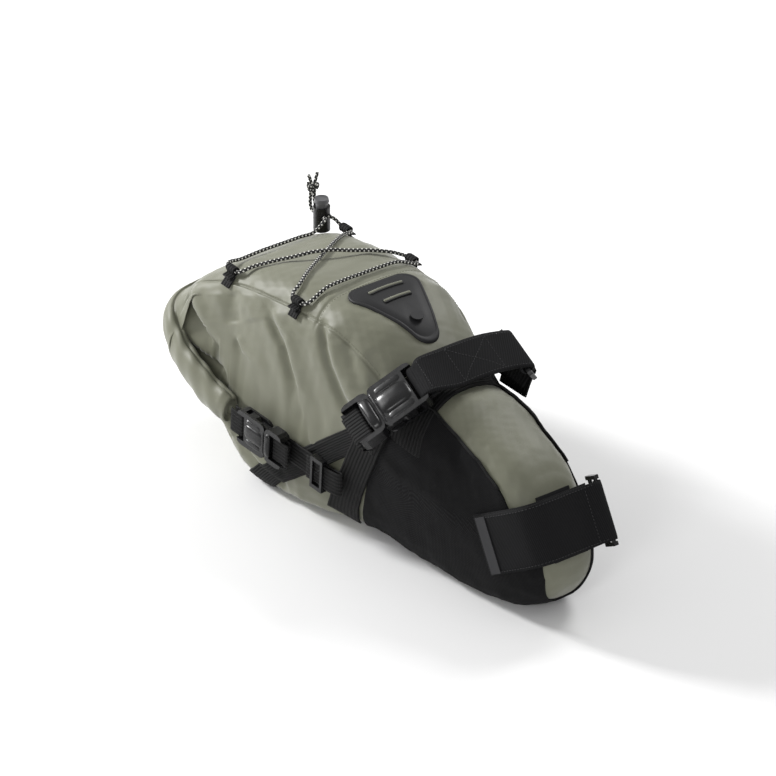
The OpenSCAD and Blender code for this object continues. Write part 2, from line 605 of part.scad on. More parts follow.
// Strap bent in the local XY plane
module post_band(path, w, t) {
  n = len(path);
  nrm = [for (i = [0 : n - 1])
    let (a = path[max(0, i - 1)], b = path[min(n - 1, i + 1)], d = (b - a) / norm(b - a))
    [-d[1], d[0]]];
  outline = concat(
    [for (i = [0 : n - 1]) path[i] + nrm[i] * t / 2],
    [for (i = [n - 1 : -1 : 0]) path[i] - nrm[i] * t / 2]
  );
  at_post() translate([0, 0, -w / 2]) linear_extrude(w) polygon(outline);
}

module nose_grip() {
  color([0.15, 0.15, 0.15]) at_post() translate([1.2, -18, -30]) cube([2, 36, 60]);
}

bar_x = 17.4;
bar_y = 37;

module seatpost_strap() {
  color([0.08, 0.08, 0.08]) post_band([
    [-52, -50.5], [-32, -46.5], [-12, -41.5], [2, -35.6], [9, -27], [12, -16], [12.4, 0], [12, 14], [11.6, 29]
  ], post_w, 1.4);
}

// Free end: folded round the ring bar and back over the strap
module seatpost_flap() {
  color([0.07, 0.07, 0.07]) post_band([
    [bar_x - 3.6, bar_y - 1], [bar_x - 3.4, bar_y + 1.2], [bar_x - 2, bar_y + 3], [bar_x, bar_y + 3.7], [bar_x + 2, bar_y + 3],
    [bar_x + 3.4, bar_y + 1.2], [bar_x + 3.2, bar_y - 4], [17.2, 26], [15.9, 14], [15.6, -14], [12.4, -29], [4.6, -39], [-10, -45], [-32, -50.6],
    [-46, -53.8]
  ], post_w - 2, 1.4);
}

module seatpost_ring() {
  color([0.06, 0.06, 0.06]) at_post() {
    for (x = [bar_x, bar_x - 9]) translate([x, bar_y, -post_w / 2 - 2]) cylinder(h = post_w + 4, r = 1.9);
    for (z = [-post_w / 2 - 4.4, post_w / 2 + 0.8]) translate([bar_x - 11.4, bar_y - 2.4, z]) cube([13.8, 4.8, 3.6]);
  }
}

// Short tab from the left side of the nose round the inner ring bar
module seatpost_tab() {
  color([0.08, 0.08, 0.08]) post_band([
    [-44, 51.4], [-28, 48], [-12, 44.8], [0, 42.4], [bar_x - 9, 40.4], [bar_x - 6.4, 39.4], [bar_x - 5.7, 37], [bar_x - 6.6, 34.6],
    [bar_x - 9, 33.7], [bar_x - 12, 34.8], [bar_x - 15, 37.4]
  ], post_w - 16, 1.4);
}

module flap_label() {
  color([0.2, 0.2, 0.21]) post_band([[-44, -54.7], [-33.3, -52.2]], post_w - 4, 0.8);
}

// ---------------------------------------------------------------- nodes

shell();
reinforcement_panel();
leg_right();
leg_left();
belly_strap();
top_webbing();
light_patch();
patch_badge();
bottom_stiffener();
roll_top();
bungee_cord();
cord_tails();
cord_knot();
loop_rear_right();
loop_rear_left();
loop_mid_right();
loop_mid_left();
cord_lock_body();
cord_lock_button();
cord_lock_spring();
rail_socket();
rail_plug();
rail_prong_front();
rail_prong_rear();
rail_plug_loop();
rail_link();
rail_strap();
rail_ring();
rail_ring_tab();
socket_right();
plug_right();
prong_right_upper();
prong_right_lower();
plug_loop_right();
closure_tab_right();
closure_strap_right();
tri_glide_right();
socket_left();
plug_left();
prong_left_upper();
prong_left_lower();
plug_loop_left();
closure_tab_left();
closure_strap_left();
tri_glide_left();
nose_grip();
seatpost_strap();
seatpost_flap();
seatpost_ring();
seatpost_tab();
flap_label();
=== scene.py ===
"""Looks of the saddle bag: cloth body, panels, webbing, buckles, cord and lights."""

import json
import math

import bmesh
import bpy
import numpy as np
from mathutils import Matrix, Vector


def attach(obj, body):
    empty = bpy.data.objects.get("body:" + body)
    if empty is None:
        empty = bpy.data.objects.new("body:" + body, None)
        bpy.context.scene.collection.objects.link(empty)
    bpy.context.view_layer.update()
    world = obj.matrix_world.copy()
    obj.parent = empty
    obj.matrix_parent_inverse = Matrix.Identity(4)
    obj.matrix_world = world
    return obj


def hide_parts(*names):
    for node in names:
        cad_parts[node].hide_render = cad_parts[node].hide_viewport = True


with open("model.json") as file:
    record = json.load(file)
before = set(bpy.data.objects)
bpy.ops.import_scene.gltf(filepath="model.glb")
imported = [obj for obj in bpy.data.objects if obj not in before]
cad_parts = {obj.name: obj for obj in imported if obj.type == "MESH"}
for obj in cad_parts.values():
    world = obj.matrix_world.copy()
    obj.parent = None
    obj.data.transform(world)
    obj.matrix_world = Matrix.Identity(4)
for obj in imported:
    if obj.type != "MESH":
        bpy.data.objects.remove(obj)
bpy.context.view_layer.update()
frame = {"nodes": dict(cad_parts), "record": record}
NODES = frame["nodes"]
MM = 0.001
SHIFT = np.array([2.87, 0.0, 0.0])  # from design millimetres to the frame

# ---------------------------------------------------------------- camera

TARGET = Vector((-0.0191, -0.0008, 0.114))
DISTANCE = 4.944
AZIMUTH = math.radians(53.0)
ELEVATION = math.radians(30.0)
cam_data = bpy.data.cameras.new("camera")
cam_data.lens = 255
cam_data.sensor_width = 36
camera = bpy.data.objects.new("camera", cam_data)
bpy.context.scene.collection.objects.link(camera)
bpy.context.scene.camera = camera
back = Vector((math.sin(AZIMUTH) * math.cos(ELEVATION), -math.cos(AZIMUTH) * math.cos(ELEVATION), math.sin(ELEVATION)))
camera.location = TARGET + back * DISTANCE
camera.rotation_euler = back.to_track_quat("Z", "Y").to_euler()

# ---------------------------------------------------------------- materials


def new_material(name, color, rough, spec=0.5):
    m = bpy.data.materials.new(name)
    m.use_nodes = True
    b = m.node_tree.nodes["Principled BSDF"]
    b.inputs["Base Color"].default_value = (*color, 1)
    b.inputs["Roughness"].default_value = rough
    b.inputs["Specular IOR Level"].default_value = spec
    return m, m.node_tree, b


def add(tree, kind, **props):
    n = tree.nodes.new(kind)
    for k, v in props.items():
        setattr(n, k, v)
    return n


def math_node(tree, op, a, b=None):
    n = add(tree, "ShaderNodeMath", operation=op)
    for i, v in enumerate((a, b)):
        if v is None:
            continue
        if isinstance(v, (int, float)):
            n.inputs[i].default_value = v
        else:
            tree.links.new(v, n.inputs[i])
    return n.outputs[0]


def uv_parts(tree):
    uv = add(tree, "ShaderNodeUVMap", uv_map="uv")
    sep = add(tree, "ShaderNodeSeparateXYZ")
    tree.links.new(uv.outputs[0], sep.inputs[0])
    return sep.outputs[0], sep.outputs[1]


def object_parts(tree):
    co = add(tree, "ShaderNodeTexCoord")
    sep = add(tree, "ShaderNodeSeparateXYZ")
    tree.links.new(co.outputs["Object"], sep.inputs[0])
    return sep.outputs, co.outputs["Object"]


def sine(tree, value, pitch):
    k = math_node(tree, "MULTIPLY", value, 2 * math.pi / pitch)
    s = math_node(tree, "SINE", k)
    return math_node(tree, "ADD", math_node(tree, "MULTIPLY", s, 0.5), 0.5)


def bump(tree, bsdf, height, strength, distance):
    b = add(tree, "ShaderNodeBump")
    b.inputs["Strength"].default_value = strength
    b.inputs["Distance"].default_value = distance
    tree.links.new(height, b.inputs["Height"])
    tree.links.new(b.outputs[0], bsdf.inputs["Normal"])


def mix_color(tree, fac, a, b, bsdf):
    m = add(tree, "ShaderNodeMix", data_type="RGBA")
    tree.links.new(fac, m.inputs["Factor"])
    m.inputs["A"].default_value = (*a, 1)
    m.inputs["B"].default_value = (*b, 1)
    tree.links.new(m.outputs["Result"], bsdf.inputs["Base Color"])


def cloud(tree, scale, detail=2):
    """Noise fixed to the object."""
    n = add(tree, "ShaderNodeTexNoise")
    n.inputs["Scale"].default_value = scale
    n.inputs["Detail"].default_value = detail
    tree.links.new(object_parts(tree)[1], n.inputs["Vector"])
    return n.outputs["Fac"]


def fabric_green():
    m, t, b = new_material("green_fabric", (0.25, 0.25, 0.19), 0.5, 0.35)
    u, v = uv_parts(t)
    weave = math_node(t, "MULTIPLY", sine(t, u, 0.0011), sine(t, v, 0.0011))
    noise = cloud(t, 38, 6)
    height = math_node(t, "ADD", math_node(t, "MULTIPLY", weave, 0.12), noise)
    bump(t, b, height, 0.35, 0.0012)
    mix_color(t, noise, (0.122, 0.124, 0.088), (0.168, 0.170, 0.124), b)
    b.inputs["Sheen Weight"].default_value = 0.25
    b.inputs["Sheen Roughness"].default_value = 0.4
    return m


def fabric_black():
    m, t, b = new_material("black_fabric", (0.010, 0.010, 0.011), 0.8, 0.14)
    u, v = uv_parts(t)
    weave = math_node(t, "MULTIPLY", sine(t, u, 0.0016), sine(t, v, 0.0016))
    bump(t, b, weave, 0.7, 0.0005)
    mix_color(t, math_node(t, "POWER", weave, 2.0), (0.003, 0.003, 0.0034), (0.018, 0.018, 0.019), b)
    return m


def webbing(name, base, light, rib, use_uv=True):
    m, t, b = new_material(name, base, 0.65, 0.16)
    if use_uv:
        u, v = uv_parts(t)
    else:
        parts, _ = object_parts(t)
        u, v = parts[0], parts[1]
    ribs = math_node(t, "POWER", sine(t, v, rib), 0.6)
    cross = sine(t, u, 0.0014)
    height = math_node(t, "ADD", ribs, math_node(t, "MULTIPLY", cross, 0.35))
    bump(t, b, height, 0.8, 0.0006)
    mix_color(t, math_node(t, "MULTIPLY", math_node(t, "POWER", ribs, 3.0), cross), base, light, b)
    return m


def twill():
    m, t, b = new_material("hook_loop", (0.010, 0.010, 0.011), 0.75, 0.14)
    u, v = uv_parts(t)
    diag = math_node(t, "ADD", u, math_node(t, "MULTIPLY", v, 0.8))
    lines = sine(t, diag, 0.0019)
    bump(t, b, lines, 0.5, 0.0004)
    mix_color(t, math_node(t, "POWER", lines, 2.0), (0.003, 0.003, 0.0034), (0.013, 0.013, 0.014), b)
    return m


def plastic(name, color, rough):
    m, t, b = new_material(name, color, rough, 0.42)
    noise = cloud(t, 160)
    bump(t, b, noise, 0.02, 0.0003)
    r = math_node(t, "ADD", math_node(t, "MULTIPLY", noise, 0.16), rough - 0.08)
    t.links.new(r, b.inputs["Roughness"])
    return m


def rubber(name, color, rough=0.6):
    m, t, b = new_material(name, color, rough, 0.3)
    noise = cloud(t, 900)
    bump(t, b, noise, 0.15, 0.0004)
    return m


FLECK_PITCH = 0.004


def cord_cover():
    """Black braid with light flecks in pairs along the cord."""
    m, t, b = new_material("shock_cord", (0.012, 0.012, 0.012), 0.6, 0.4)
    u, v = uv_parts(t)
    lean = math_node(t, "MULTIPLY", v, FLECK_PITCH * 2)
    braid = math_node(t, "MULTIPLY", sine(t, math_node(t, "ADD", u, lean), FLECK_PITCH),
                      sine(t, math_node(t, "SUBTRACT", u, lean), FLECK_PITCH))
    bump(t, b, braid, 0.8, 0.0006)
    mix_color(t, math_node(t, "GREATER_THAN", braid, 0.5), (0.010, 0.010, 0.010), (0.75, 0.75, 0.70), b)
    return m


def metal():
    m, _, b = new_material("spring_steel", (0.6, 0.6, 0.62), 0.3)
    b.inputs["Metallic"].default_value = 1
    return m


GREEN = fabric_green()
BLACK = fabric_black()
WEB = webbing("webbing", (0.0025, 0.0025, 0.0025), (0.020, 0.020, 0.020), 0.0036)
WEB_CAD = webbing("webbing_small", (0.004, 0.004, 0.004), (0.024, 0.024, 0.024), 0.003, False)
TWILL = twill()
PLASTIC = plastic("black_plastic", (0.005, 0.005, 0.0055), 0.28)
PLASTIC_GREY = plastic("grey_plastic", (0.09, 0.09, 0.095), 0.35)
RUBBER = rubber("rubber", (0.009, 0.009, 0.010), 0.55)
LABEL = rubber("label_rubber", (0.024, 0.024, 0.026), 0.5)
CORD = cord_cover()
STEEL = metal()
THREAD = rubber("thread", (0.035, 0.035, 0.036), 0.8)
THREAD_GREEN = rubber("thread_green", (0.16, 0.16, 0.12), 0.8)
SHEET = plastic("stiffener_sheet", (0.05, 0.05, 0.05), 0.5)

# ---------------------------------------------------------------- body surface
TAIL_X, NOSE_X = -243, 223
# Stations: x, top, bottom, half width, top squareness, front lean (as in the CAD)
ST = np.array([
    [-243, 136, 104, 77, 3.0, 0], [-236, 149, 94, 81, 3.2, 0], [-222, 165, 79, 84, 3.8, 0], [-200, 180, 58, 84, 4.4, 0],
    [-178, 190, 34, 82, 4.8, 0], [-150, 198, 10, 80, 5.0, 0], [-125, 203, 2, 80, 5.0, 0], [-95, 208, 0, 80, 5.0, 0],
    [-55, 212, 0, 78.5, 4.6, 0], [-15, 212, 0, 75, 4.2, 0], [20, 204, 0, 71, 3.0, 0], [48, 187, 0, 67, 2.35, 0],
    [70, 175, 0, 64, 2.3, 0.02], [92, 168, 0, 61, 2.3, 0.05], [118, 165, 0, 57, 2.5, 0.12],
    [145, 161, 0, 52, 2.8, 0.22],
    [170, 156, 4, 47, 2.9, 0.34], [190, 151, 13, 43, 3.0, 0.45], [206, 146, 27, 39, 3.0, 0.52],
    [217, 139, 42, 34, 3.0, 0.55],
    [223, 129, 57, 28, 2.8, 0.55]], float)
FINE_X = np.arange(TAIL_X, NOSE_X + 0.01, 1.0)
FINE = []
for column in range(1, 6):
    raw = np.interp(FINE_X, ST[:, 0], ST[:, column])
    reach = np.minimum(8, np.minimum(FINE_X - TAIL_X, NOSE_X - FINE_X)).astype(int)
    FINE.append(np.array([raw[i - r:i + r + 1].mean() for i, r in enumerate(reach)]))


def station(x):
    """Top, bottom, half width, squareness and lean of the body at x, smoothed."""
    return [np.interp(x, FINE_X, f) for f in FINE]


def low_n(x):
    """Squareness of the lower half."""
    return np.interp(x, [-200, -130, -50, 0, 30, 90, 150, 223], [4.6, 7.5, 6.5, 3.8, 3.2, 3.8, 3.8, 2.9])


def sag(x):
    """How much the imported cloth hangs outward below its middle."""
    return np.interp(x, [-230, -150, -30, 40], [0, 0.08, 0.08, 0])


def spread(x, v):
    """Share of the half width at a height v from -1 to 1."""
    return 1 - sag(x) * v * np.where(v < 0, 1.6, 1.0)


# Creases on the right side: points (x, z), depth, width; repeated softer on the left
CREASES = [
    ([(-110, 180), (-81, 158), (-66, 132), (-57, 114), (-46, 90)], 5.2, 6),
    ([(-41, 202), (-19, 168), (2, 141), (17, 126)], 4.6, 5.5),
    ([(-152, 134), (-142, 123), (-118, 113), (-105, 94)], 4.0, 5),
    ([(-162, 176), (-156, 160), (-150, 148)], 3.0, 11),
    ([(-30, 120), (-20, 104), (-14, 92)], 2.0, 5),
    ([(-88, 118), (-78, 96), (-70, 80)], 1.8, 8),
    ([(18, 192), (34, 172), (44, 150)], 2.6, 5),
    ([(-6, 196), (12, 172), (30, 150)], 1.5, 5),
    ([(-94, 204), (-102, 190), (-106, 176)], 1.6, 9),
    ([(-136, 40), (-104, 24), (-62, 18)], 5.0, 6),
    ([(-124, 58), (-96, 42), (-58, 34)], 3.0, 5),
    ([(-192, 62), (-170, 44), (-146, 28)], 4.4, 5),
    ([(-168, 62), (-146, 52), (-130, 46)], 2.6, 4),
    ([(-44, 84), (-24, 62), (-6, 40)], 2.4, 5),
    ([(60, 150), (90, 120), (120, 100)], 1.0, 12),
    ([(118, 156), (136, 144), (160, 138)], 1.6, 7),
    ([(140, 150), (156, 128), (176, 120)], 1.4, 6),
]
# Pleats on the sides near the tail: the cloth steps in behind the line. Points, step, how far the step lasts
FOLDS = [
    ([(-220, 156), (-205, 141), (-180, 120), (-166, 102), (-155, 82)], 9.0, 26),
    ([(-240, 116), (-214, 104), (-188, 96), (-170, 92)], 6.0, 14),
]


def segment_distance(px, pz, a, b):
    ax, az = a
    bx, bz = b
    dx, dz = bx - ax, bz - az
    t = np.clip(((px - ax) * dx + (pz - az) * dz) / (dx * dx + dz * dz), 0, 1)
    ex, ez = px - (ax + t * dx), pz - (az + t * dz)
    d = np.hypot(ex, ez)
    return d, np.sign(dx * ez - dz * ex), t


def line_distance(x, z, points):
    """Signed distance to a broken line and the share of its length there."""
    best = np.full_like(x, 1e6)
    hand = np.zeros_like(x)
    along = np.zeros_like(x)
    count = len(points) - 1
    for k, (a, b) in enumerate(zip(points[:-1], points[1:])):
        d, h, t = segment_distance(x, z, a, b)
        closer = d < best
        best = np.where(closer, d, best)
        hand = np.where(closer, h, hand)
        along = np.where(closer, (k + t) / count, along)
    return best * hand, along


SEAM_ANGLES = (math.radians(42), math.radians(138))
FLOOR_GAP = 2.2


def wave_noise(x, y, z, seed, size):
    rng = np.random.RandomState(seed)
    total = np.zeros_like(x)
    for k in range(7):
        d = rng.normal(size=3)
        d /= np.linalg.norm(d)
        f = (0.6 + 1.2 * rng.rand()) * 2 * math.pi / size
        total += np.sin(f * (d[0] * x + d[1] * y + d[2] * z) + rng.rand() * 6.28)
    return total / 7


def wrinkle(x, y, z, theta):
    """Cloth relief in mm at a point of the body."""
    side = np.clip((np.abs(np.cos(theta)) - 0.55) / 0.3, 0, 1)
    total = np.zeros_like(x)
    for sign, gain, slide in ((-1, 1.0, 0.0), (1, 0.8, 9.0)):
        here = side * (np.sign(y) == sign) * gain
        if not here.any():
            continue
        for points, depth, width in CREASES:
            s, along = line_distance(x + slide, z, points)
            ends = np.exp(-(np.maximum(np.abs(along - 0.5) - 0.36, 0) / 0.09) ** 2)
            wide = width * (0.8 + 0.5 * along)
            total += here * ends * depth * (
                -np.exp(-(s / wide) ** 2) + 0.5 * np.exp(-((s - 2.0 * wide) / (1.7 * wide)) ** 2)
                + 0.2 * np.exp(-((s + 2.2 * wide) / (2.0 * wide)) ** 2))
        for points, step, reach in FOLDS:
            s, along = line_distance(x + slide, z, points)
            ends = np.exp(-(np.maximum(np.abs(along - 0.5) - 0.4, 0) / 0.08) ** 2)
            behind = np.maximum(-s, 0)
            total += here * ends * step * np.where(
                s < 0, -(1 - np.exp(-behind / 1.6)) * np.exp(-(behind / reach) ** 2), 0.2 * np.exp(-((s - 6) / 7) ** 2))
    total += 1.3 * wave_noise(x, y, z, 3, 80) + 0.8 * wave_noise(x, y, z, 5, 30) + 0.35 * wave_noise(x, y, z, 8, 12)
    # seams: along both top edges and across the top
    for edge in SEAM_ANGLES:
        total -= 1.1 * np.exp(-((theta - edge) / 0.022) ** 2) * (x < 60)
    top = np.clip((np.sin(theta) - 0.5) / 0.2, 0, 1)
    total -= 1.0 * top * np.exp(-((x + 50 - 0.0016 * y * y) / 1.6) ** 2)
    # pulled in under the waist webbing
    total -= 2.0 * top * np.exp(-((x - 76) / 22) ** 2)
    return total


def body_point(x, theta, offset=0.0, relief=1.0):
    x = np.asarray(x, float)
    theta = np.asarray(theta, float)
    top, bottom, half, square, lean = station(x)
    c, s = np.cos(theta), np.sin(theta)
    mid, tall = (top + bottom) / 2, (top - bottom) / 2
    n = np.where(s >= 0, square, low_n(x))
    v = np.sign(s) * np.abs(s) ** (2 / n)
    half = half * spread(x, v)
    y = half * np.sign(c) * np.abs(c) ** (2 / n)
    z = mid + tall * v
    d = offset + relief * wrinkle(x, y, z, theta)
    y = (half + d) * np.sign(c) * np.abs(c) ** (2 / n)
    z = mid + (tall + d) * np.sign(s) * np.abs(s) ** (2 / n)
    z = np.maximum(z, FLOOR_GAP - offset)
    return np.stack([x + lean * (mid - z), y, z], -1)


def top_height(x, y):
    top, bottom, half, square, lean = station(x)
    q = np.minimum(0.98, np.abs(y) / (half * (1 - sag(x))))
    return (top + bottom) / 2 + (top - bottom) / 2 * (1 - q ** square) ** (1 / square)


def theta_for(x, z, sign):
    """Ring angle whose point stands at height z, on the side of that sign."""
    top, bottom, half, square, lean = station(x)
    mid, tall = (top + bottom) / 2, (top - bottom) / 2
    q = np.clip((z - mid) / tall, -0.999, 0.999)
    n = np.where(q >= 0, square, low_n(x))
    a = np.arcsin(np.sign(q) * np.abs(q) ** (n / 2))
    return np.where(sign > 0, a, math.pi - a)


# ---------------------------------------------------------------- mesh helpers


def unit(v):
    v = np.asarray(v, float)
    return v / np.linalg.norm(v)


def run_length(p):
    """Length of a path up to each of its points."""
    return np.concatenate([[0], np.cumsum(np.linalg.norm(np.diff(p, axis=0), axis=1))])


def headings(p):
    """Unit direction of a path at each of its points."""
    d = np.gradient(p, axis=0)
    return d / np.linalg.norm(d, axis=1, keepdims=True)


def link(obj):
    bpy.context.scene.collection.objects.link(obj)
    return obj


def make_mesh(name, verts, faces, uvs, material, smooth=True):
    """verts in design millimetres, uvs per vertex in metres."""
    v = (np.asarray(verts, float) + SHIFT) * MM
    me = bpy.data.meshes.new(name)
    me.from_pydata(v.tolist(), [], faces)
    layer = me.uv_layers.new(name="uv")
    loops = np.zeros(len(me.loops), int)
    me.loops.foreach_get("vertex_index", loops)
    layer.data.foreach_set("uv", np.asarray(uvs, np.float32)[loops].ravel())
    me.materials.append(material)
    if smooth:
        me.shade_smooth()
    me.validate()
    return link(bpy.data.objects.new(name, me))


def grid_faces(n, m, wrap=False):
    faces = []
    for i in range(n - 1):
        for j in range(m if wrap else m - 1):
            k = (j + 1) % m
            faces.append((i * m + j, i * m + k, (i + 1) * m + k, (i + 1) * m + j))
    return faces


def grid_uv(p):
    """Length along both directions of a grid of points, in metres."""
    du = np.linalg.norm(np.diff(p, axis=0), axis=2)
    dv = np.linalg.norm(np.diff(p, axis=1), axis=2)
    u = np.vstack([np.zeros((1, p.shape[1])), np.cumsum(du, 0)]).mean(1, keepdims=True) + np.zeros(p.shape[:2])
    v = np.hstack([np.zeros((p.shape[0], 1)), np.cumsum(dv, 1)]).mean(0, keepdims=True) + np.zeros(p.shape[:2])
    return np.stack([u, v], -1) * MM


def solid_grid(name, outer, inner, material):
    """Closed sheet between two grids of points of the same shape."""
    n, m = outer.shape[:2]
    verts = np.concatenate([outer.reshape(-1, 3), inner.reshape(-1, 3)])
    uv = grid_uv(outer).reshape(-1, 2)
    faces = grid_faces(n, m)
    k = n * m
    back_faces = [tuple(k + i for i in reversed(f)) for f in faces]
    rim = []
    border = [i * m for i in range(n)] + [(n - 1) * m + j for j in range(1, m)] \
        + [i * m + m - 1 for i in range(n - 2, -1, -1)] + [j for j in range(m - 2, 0, -1)]
    for a, b in zip(border, border[1:] + border[:1]):
        rim.append((a, a + k, b + k, b))
    obj = make_mesh(name, verts, faces + back_faces + rim, np.concatenate([uv, uv]), material)
    fix_normals(obj)
    return obj


def fix_normals(obj, weld=0.0):
    """Faces turned outward, after points closer than weld metres are joined."""
    bm = bmesh.new()
    bm.from_mesh(obj.data)
    if weld:
        bmesh.ops.remove_doubles(bm, verts=bm.verts, dist=weld)
    bmesh.ops.recalc_face_normals(bm, faces=bm.faces)
    bm.to_mesh(obj.data)
    bm.free()


def smooth_path(points, steps):
    """Catmull-Rom through the rows of points."""
    p = np.asarray(points, float)
    q = np.concatenate([[2 * p[0] - p[1]], p, [2 * p[-1] - p[-2]]])
    out = []
    for i in range(1, len(q) - 2):
        for t in np.arange(steps) / steps:
            a, b, c, d = q[i - 1:i + 3]
            out.append(0.5 * (2 * b + (c - a) * t + (2 * a - 5 * b + 4 * c - d) * t * t
                              + (3 * b - a - 3 * c + d) * t ** 3))
    out.append(p[-1])
    return np.array(out)


SURFACE = {}  # centre line, half width and half thickness of each strap, for its stitching


def strap(name, rows, material, body, nodes=(), steps=6, across=14, edge=0.45):
    """Flat strap through rows of (centre, half width vector, half thickness vector), edges rounded."""
    flat = np.array([np.concatenate(r) for r in rows], float)
    path = smooth_path(flat, steps)
    n = len(path)
    centre, w, t = path[:, :3], path[:, 3:6], path[:, 6:]
    t = t / np.linalg.norm(t, axis=1, keepdims=True) * np.linalg.norm(rows[0][2])
    s = np.linspace(-1, 1, across)
    lift = 1 - edge * np.clip((np.abs(s) - 0.9) / 0.1, 0, 1)
    ring = [(a, b) for a, b in zip(s, lift)] + [(a, -b) for a, b in zip(s[::-1], lift[::-1])]
    half = np.linalg.norm(w, axis=1).mean()
    length = run_length(centre)
    verts, uvs = [], []
    for i in range(n):
        for a, b in ring:
            verts.append(centre[i] + a * w[i] + b * t[i])
            uvs.append((length[i] * MM, (a + 1) * half * MM))
    m = len(ring)
    faces = grid_faces(n, m, True)
    faces += [tuple(range(m)), tuple((n - 1) * m + j for j in range(m))]
    obj = make_mesh(name, verts, faces, uvs, material)
    fix_normals(obj)
    if nodes:
        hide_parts(*nodes)
    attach(obj, body)
    SURFACE[name] = (centre, w, t)
    return obj


def on_strap(name, spots, lift):
    """Points on a strap's upper face: spots are (share of the length, place across from -1 to 1)."""
    centre, w, t = SURFACE[name]
    out = []
    for a, s in spots:
        k = a * (len(centre) - 1)
        i = int(min(k, len(centre) - 2))
        f = k - i
        c = centre[i] * (1 - f) + centre[i + 1] * f
        ww = w[i] * (1 - f) + w[i + 1] * f
        tt = t[i] * (1 - f) + t[i + 1] * f
        out.append(c + s * ww + tt + lift * unit(tt))
    return out


def strap_seam(name, strap_name, corners, body, **more):
    """Stitching on a strap through corner spots, followed closely along the strap."""
    spots = []
    for (a0, s0), (a1, s1) in zip(corners[:-1], corners[1:]):
        n = max(2, int(abs(a1 - a0) * 60) + 2)
        spots += [(a0 + (a1 - a0) * k / n, s0 + (s1 - s0) * k / n) for k in range(n)]
    spots.append(corners[-1])
    stitches(name, on_strap(strap_name, spots, 0.1), body, **more)


def tube(name, points, radius, material, body, nodes=(), sides=14, steps=5):
    """Round cord through points in design millimetres."""
    p = smooth_path(points, steps) if steps > 1 else np.asarray(points, float)
    keep = np.concatenate([[True], np.linalg.norm(np.diff(p, axis=0), axis=1) > 0.05])
    p = p[keep]
    n = len(p)
    d = headings(p)
    u = np.cross(d[0], [0.1, 0.2, 1.0])
    u /= np.linalg.norm(u)
    length = run_length(p)
    verts, uvs = [], []
    for i in range(n):
        u = u - d[i] * (u @ d[i])
        u /= np.linalg.norm(u)
        v = np.cross(d[i], u)
        for j in range(sides + 1):
            a = 2 * math.pi * j / sides
            verts.append(p[i] + radius * (math.cos(a) * u + math.sin(a) * v))
            uvs.append((length[i] * MM, j / sides))
    m = sides + 1
    faces = grid_faces(n, m)
    base = len(verts)
    verts += [p[0], p[-1]]
    uvs += [(0, 0), (length[-1] * MM, 0)]
    for j in range(sides):
        faces.append((base, j + 1, j))
        faces.append((base + 1, (n - 1) * m + j, (n - 1) * m + j + 1))
    obj = make_mesh(name, verts, faces, uvs, material)
    fix_normals(obj, weld=1e-6)
    if nodes:
        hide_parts(*nodes)
    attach(obj, body)
    return obj, p


def stitches(name, points, body, pitch=3.2, length=2.1, radius=0.28, material=THREAD):
    """A row of short threads along points in design millimetres."""
    p = np.asarray(points, float)
    along = run_length(p)
    verts, faces, uvs = [], [], []
    for k in range(int(along[-1] / pitch)):
        a, b = k * pitch + 0.4, k * pitch + 0.4 + length
        if b > along[-1]:
            break
        e = np.array([[np.interp(t, along, p[:, i]) for i in range(3)] for t in (a, (a + b) / 2, b)])
        d = e[2] - e[0]
        d /= np.linalg.norm(d)
        u = np.cross(d, [0.31, 0.52, 0.79])
        u /= np.linalg.norm(u)
        v = np.cross(d, u)
        base = len(verts)
        for q, r in zip((e[0], e[1], e[2]), (0.35, 1.0, 0.35)):
            for j in range(6):
                w = 2 * math.pi * j / 6
                verts.append(q + radius * r * (math.cos(w) * u + math.sin(w) * v))
                uvs.append((0, 0))
        for i in range(2):
            for j in range(6):
                faces.append((base + i * 6 + j, base + i * 6 + (j + 1) % 6, base + (i + 1) * 6 + (j + 1) % 6,
                              base + (i + 1) * 6 + j))
        faces.append(tuple(base + j for j in range(5, -1, -1)))
        faces.append(tuple(base + 12 + j for j in range(6)))
    obj = make_mesh(name, verts, faces, uvs, material)
    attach(obj, body)


# ---------------------------------------------------------------- cloth body

NX, NT = ((400, 440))


def build_body():
    x = np.linspace(TAIL_X, NOSE_X, NX)
    th = np.linspace(0, 2 * math.pi, NT, endpoint=False) + 0.3
    th = (th + math.pi / 2) % (2 * math.pi) - math.pi / 2
    order = np.argsort(th)
    th = th[order]
    X, TH = np.meshgrid(x, th, indexing="ij")
    rings = body_point(X, TH)
    front, rear = [], []
    c = rings[-1].mean(0)
    for k, s in enumerate((0.93, 0.8, 0.62, 0.4, 0.18)):
        bulge = 5.0 * math.sqrt(1 - s * s)
        front.append(c + (rings[-1] - c) * s + np.array([bulge * 0.876, 0, bulge * 0.48]))
    c = rings[0].mean(0)
    for s, pull in ((0.92, 3.0), (0.8, 6.0), (0.66, 9.0), (0.52, 11.5)):
        rear.append(c + (rings[0] - c) * np.array([1, 1 + 0.02 * (1 - s), s]) + np.array([-pull, 0, 0]))
    for s in (0.4, 0.2):
        rear.append(c + (rings[0] - c) * np.array([1, 0.98, s]) + np.array([-12.0, 0, 0]))
    p = np.concatenate([np.array(rear[::-1]), rings, np.array(front)])
    n, m = p.shape[:2]
    uv = grid_uv(p).reshape(-1, 2)
    faces = grid_faces(n, m, True)
    faces += [tuple(range(m)), tuple((n - 1) * m + j for j in range(m))]
    obj = make_mesh("bag_body", p.reshape(-1, 3), faces, uv, GREEN)
    fix_normals(obj)
    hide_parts("shell")
    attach(obj, "bag")


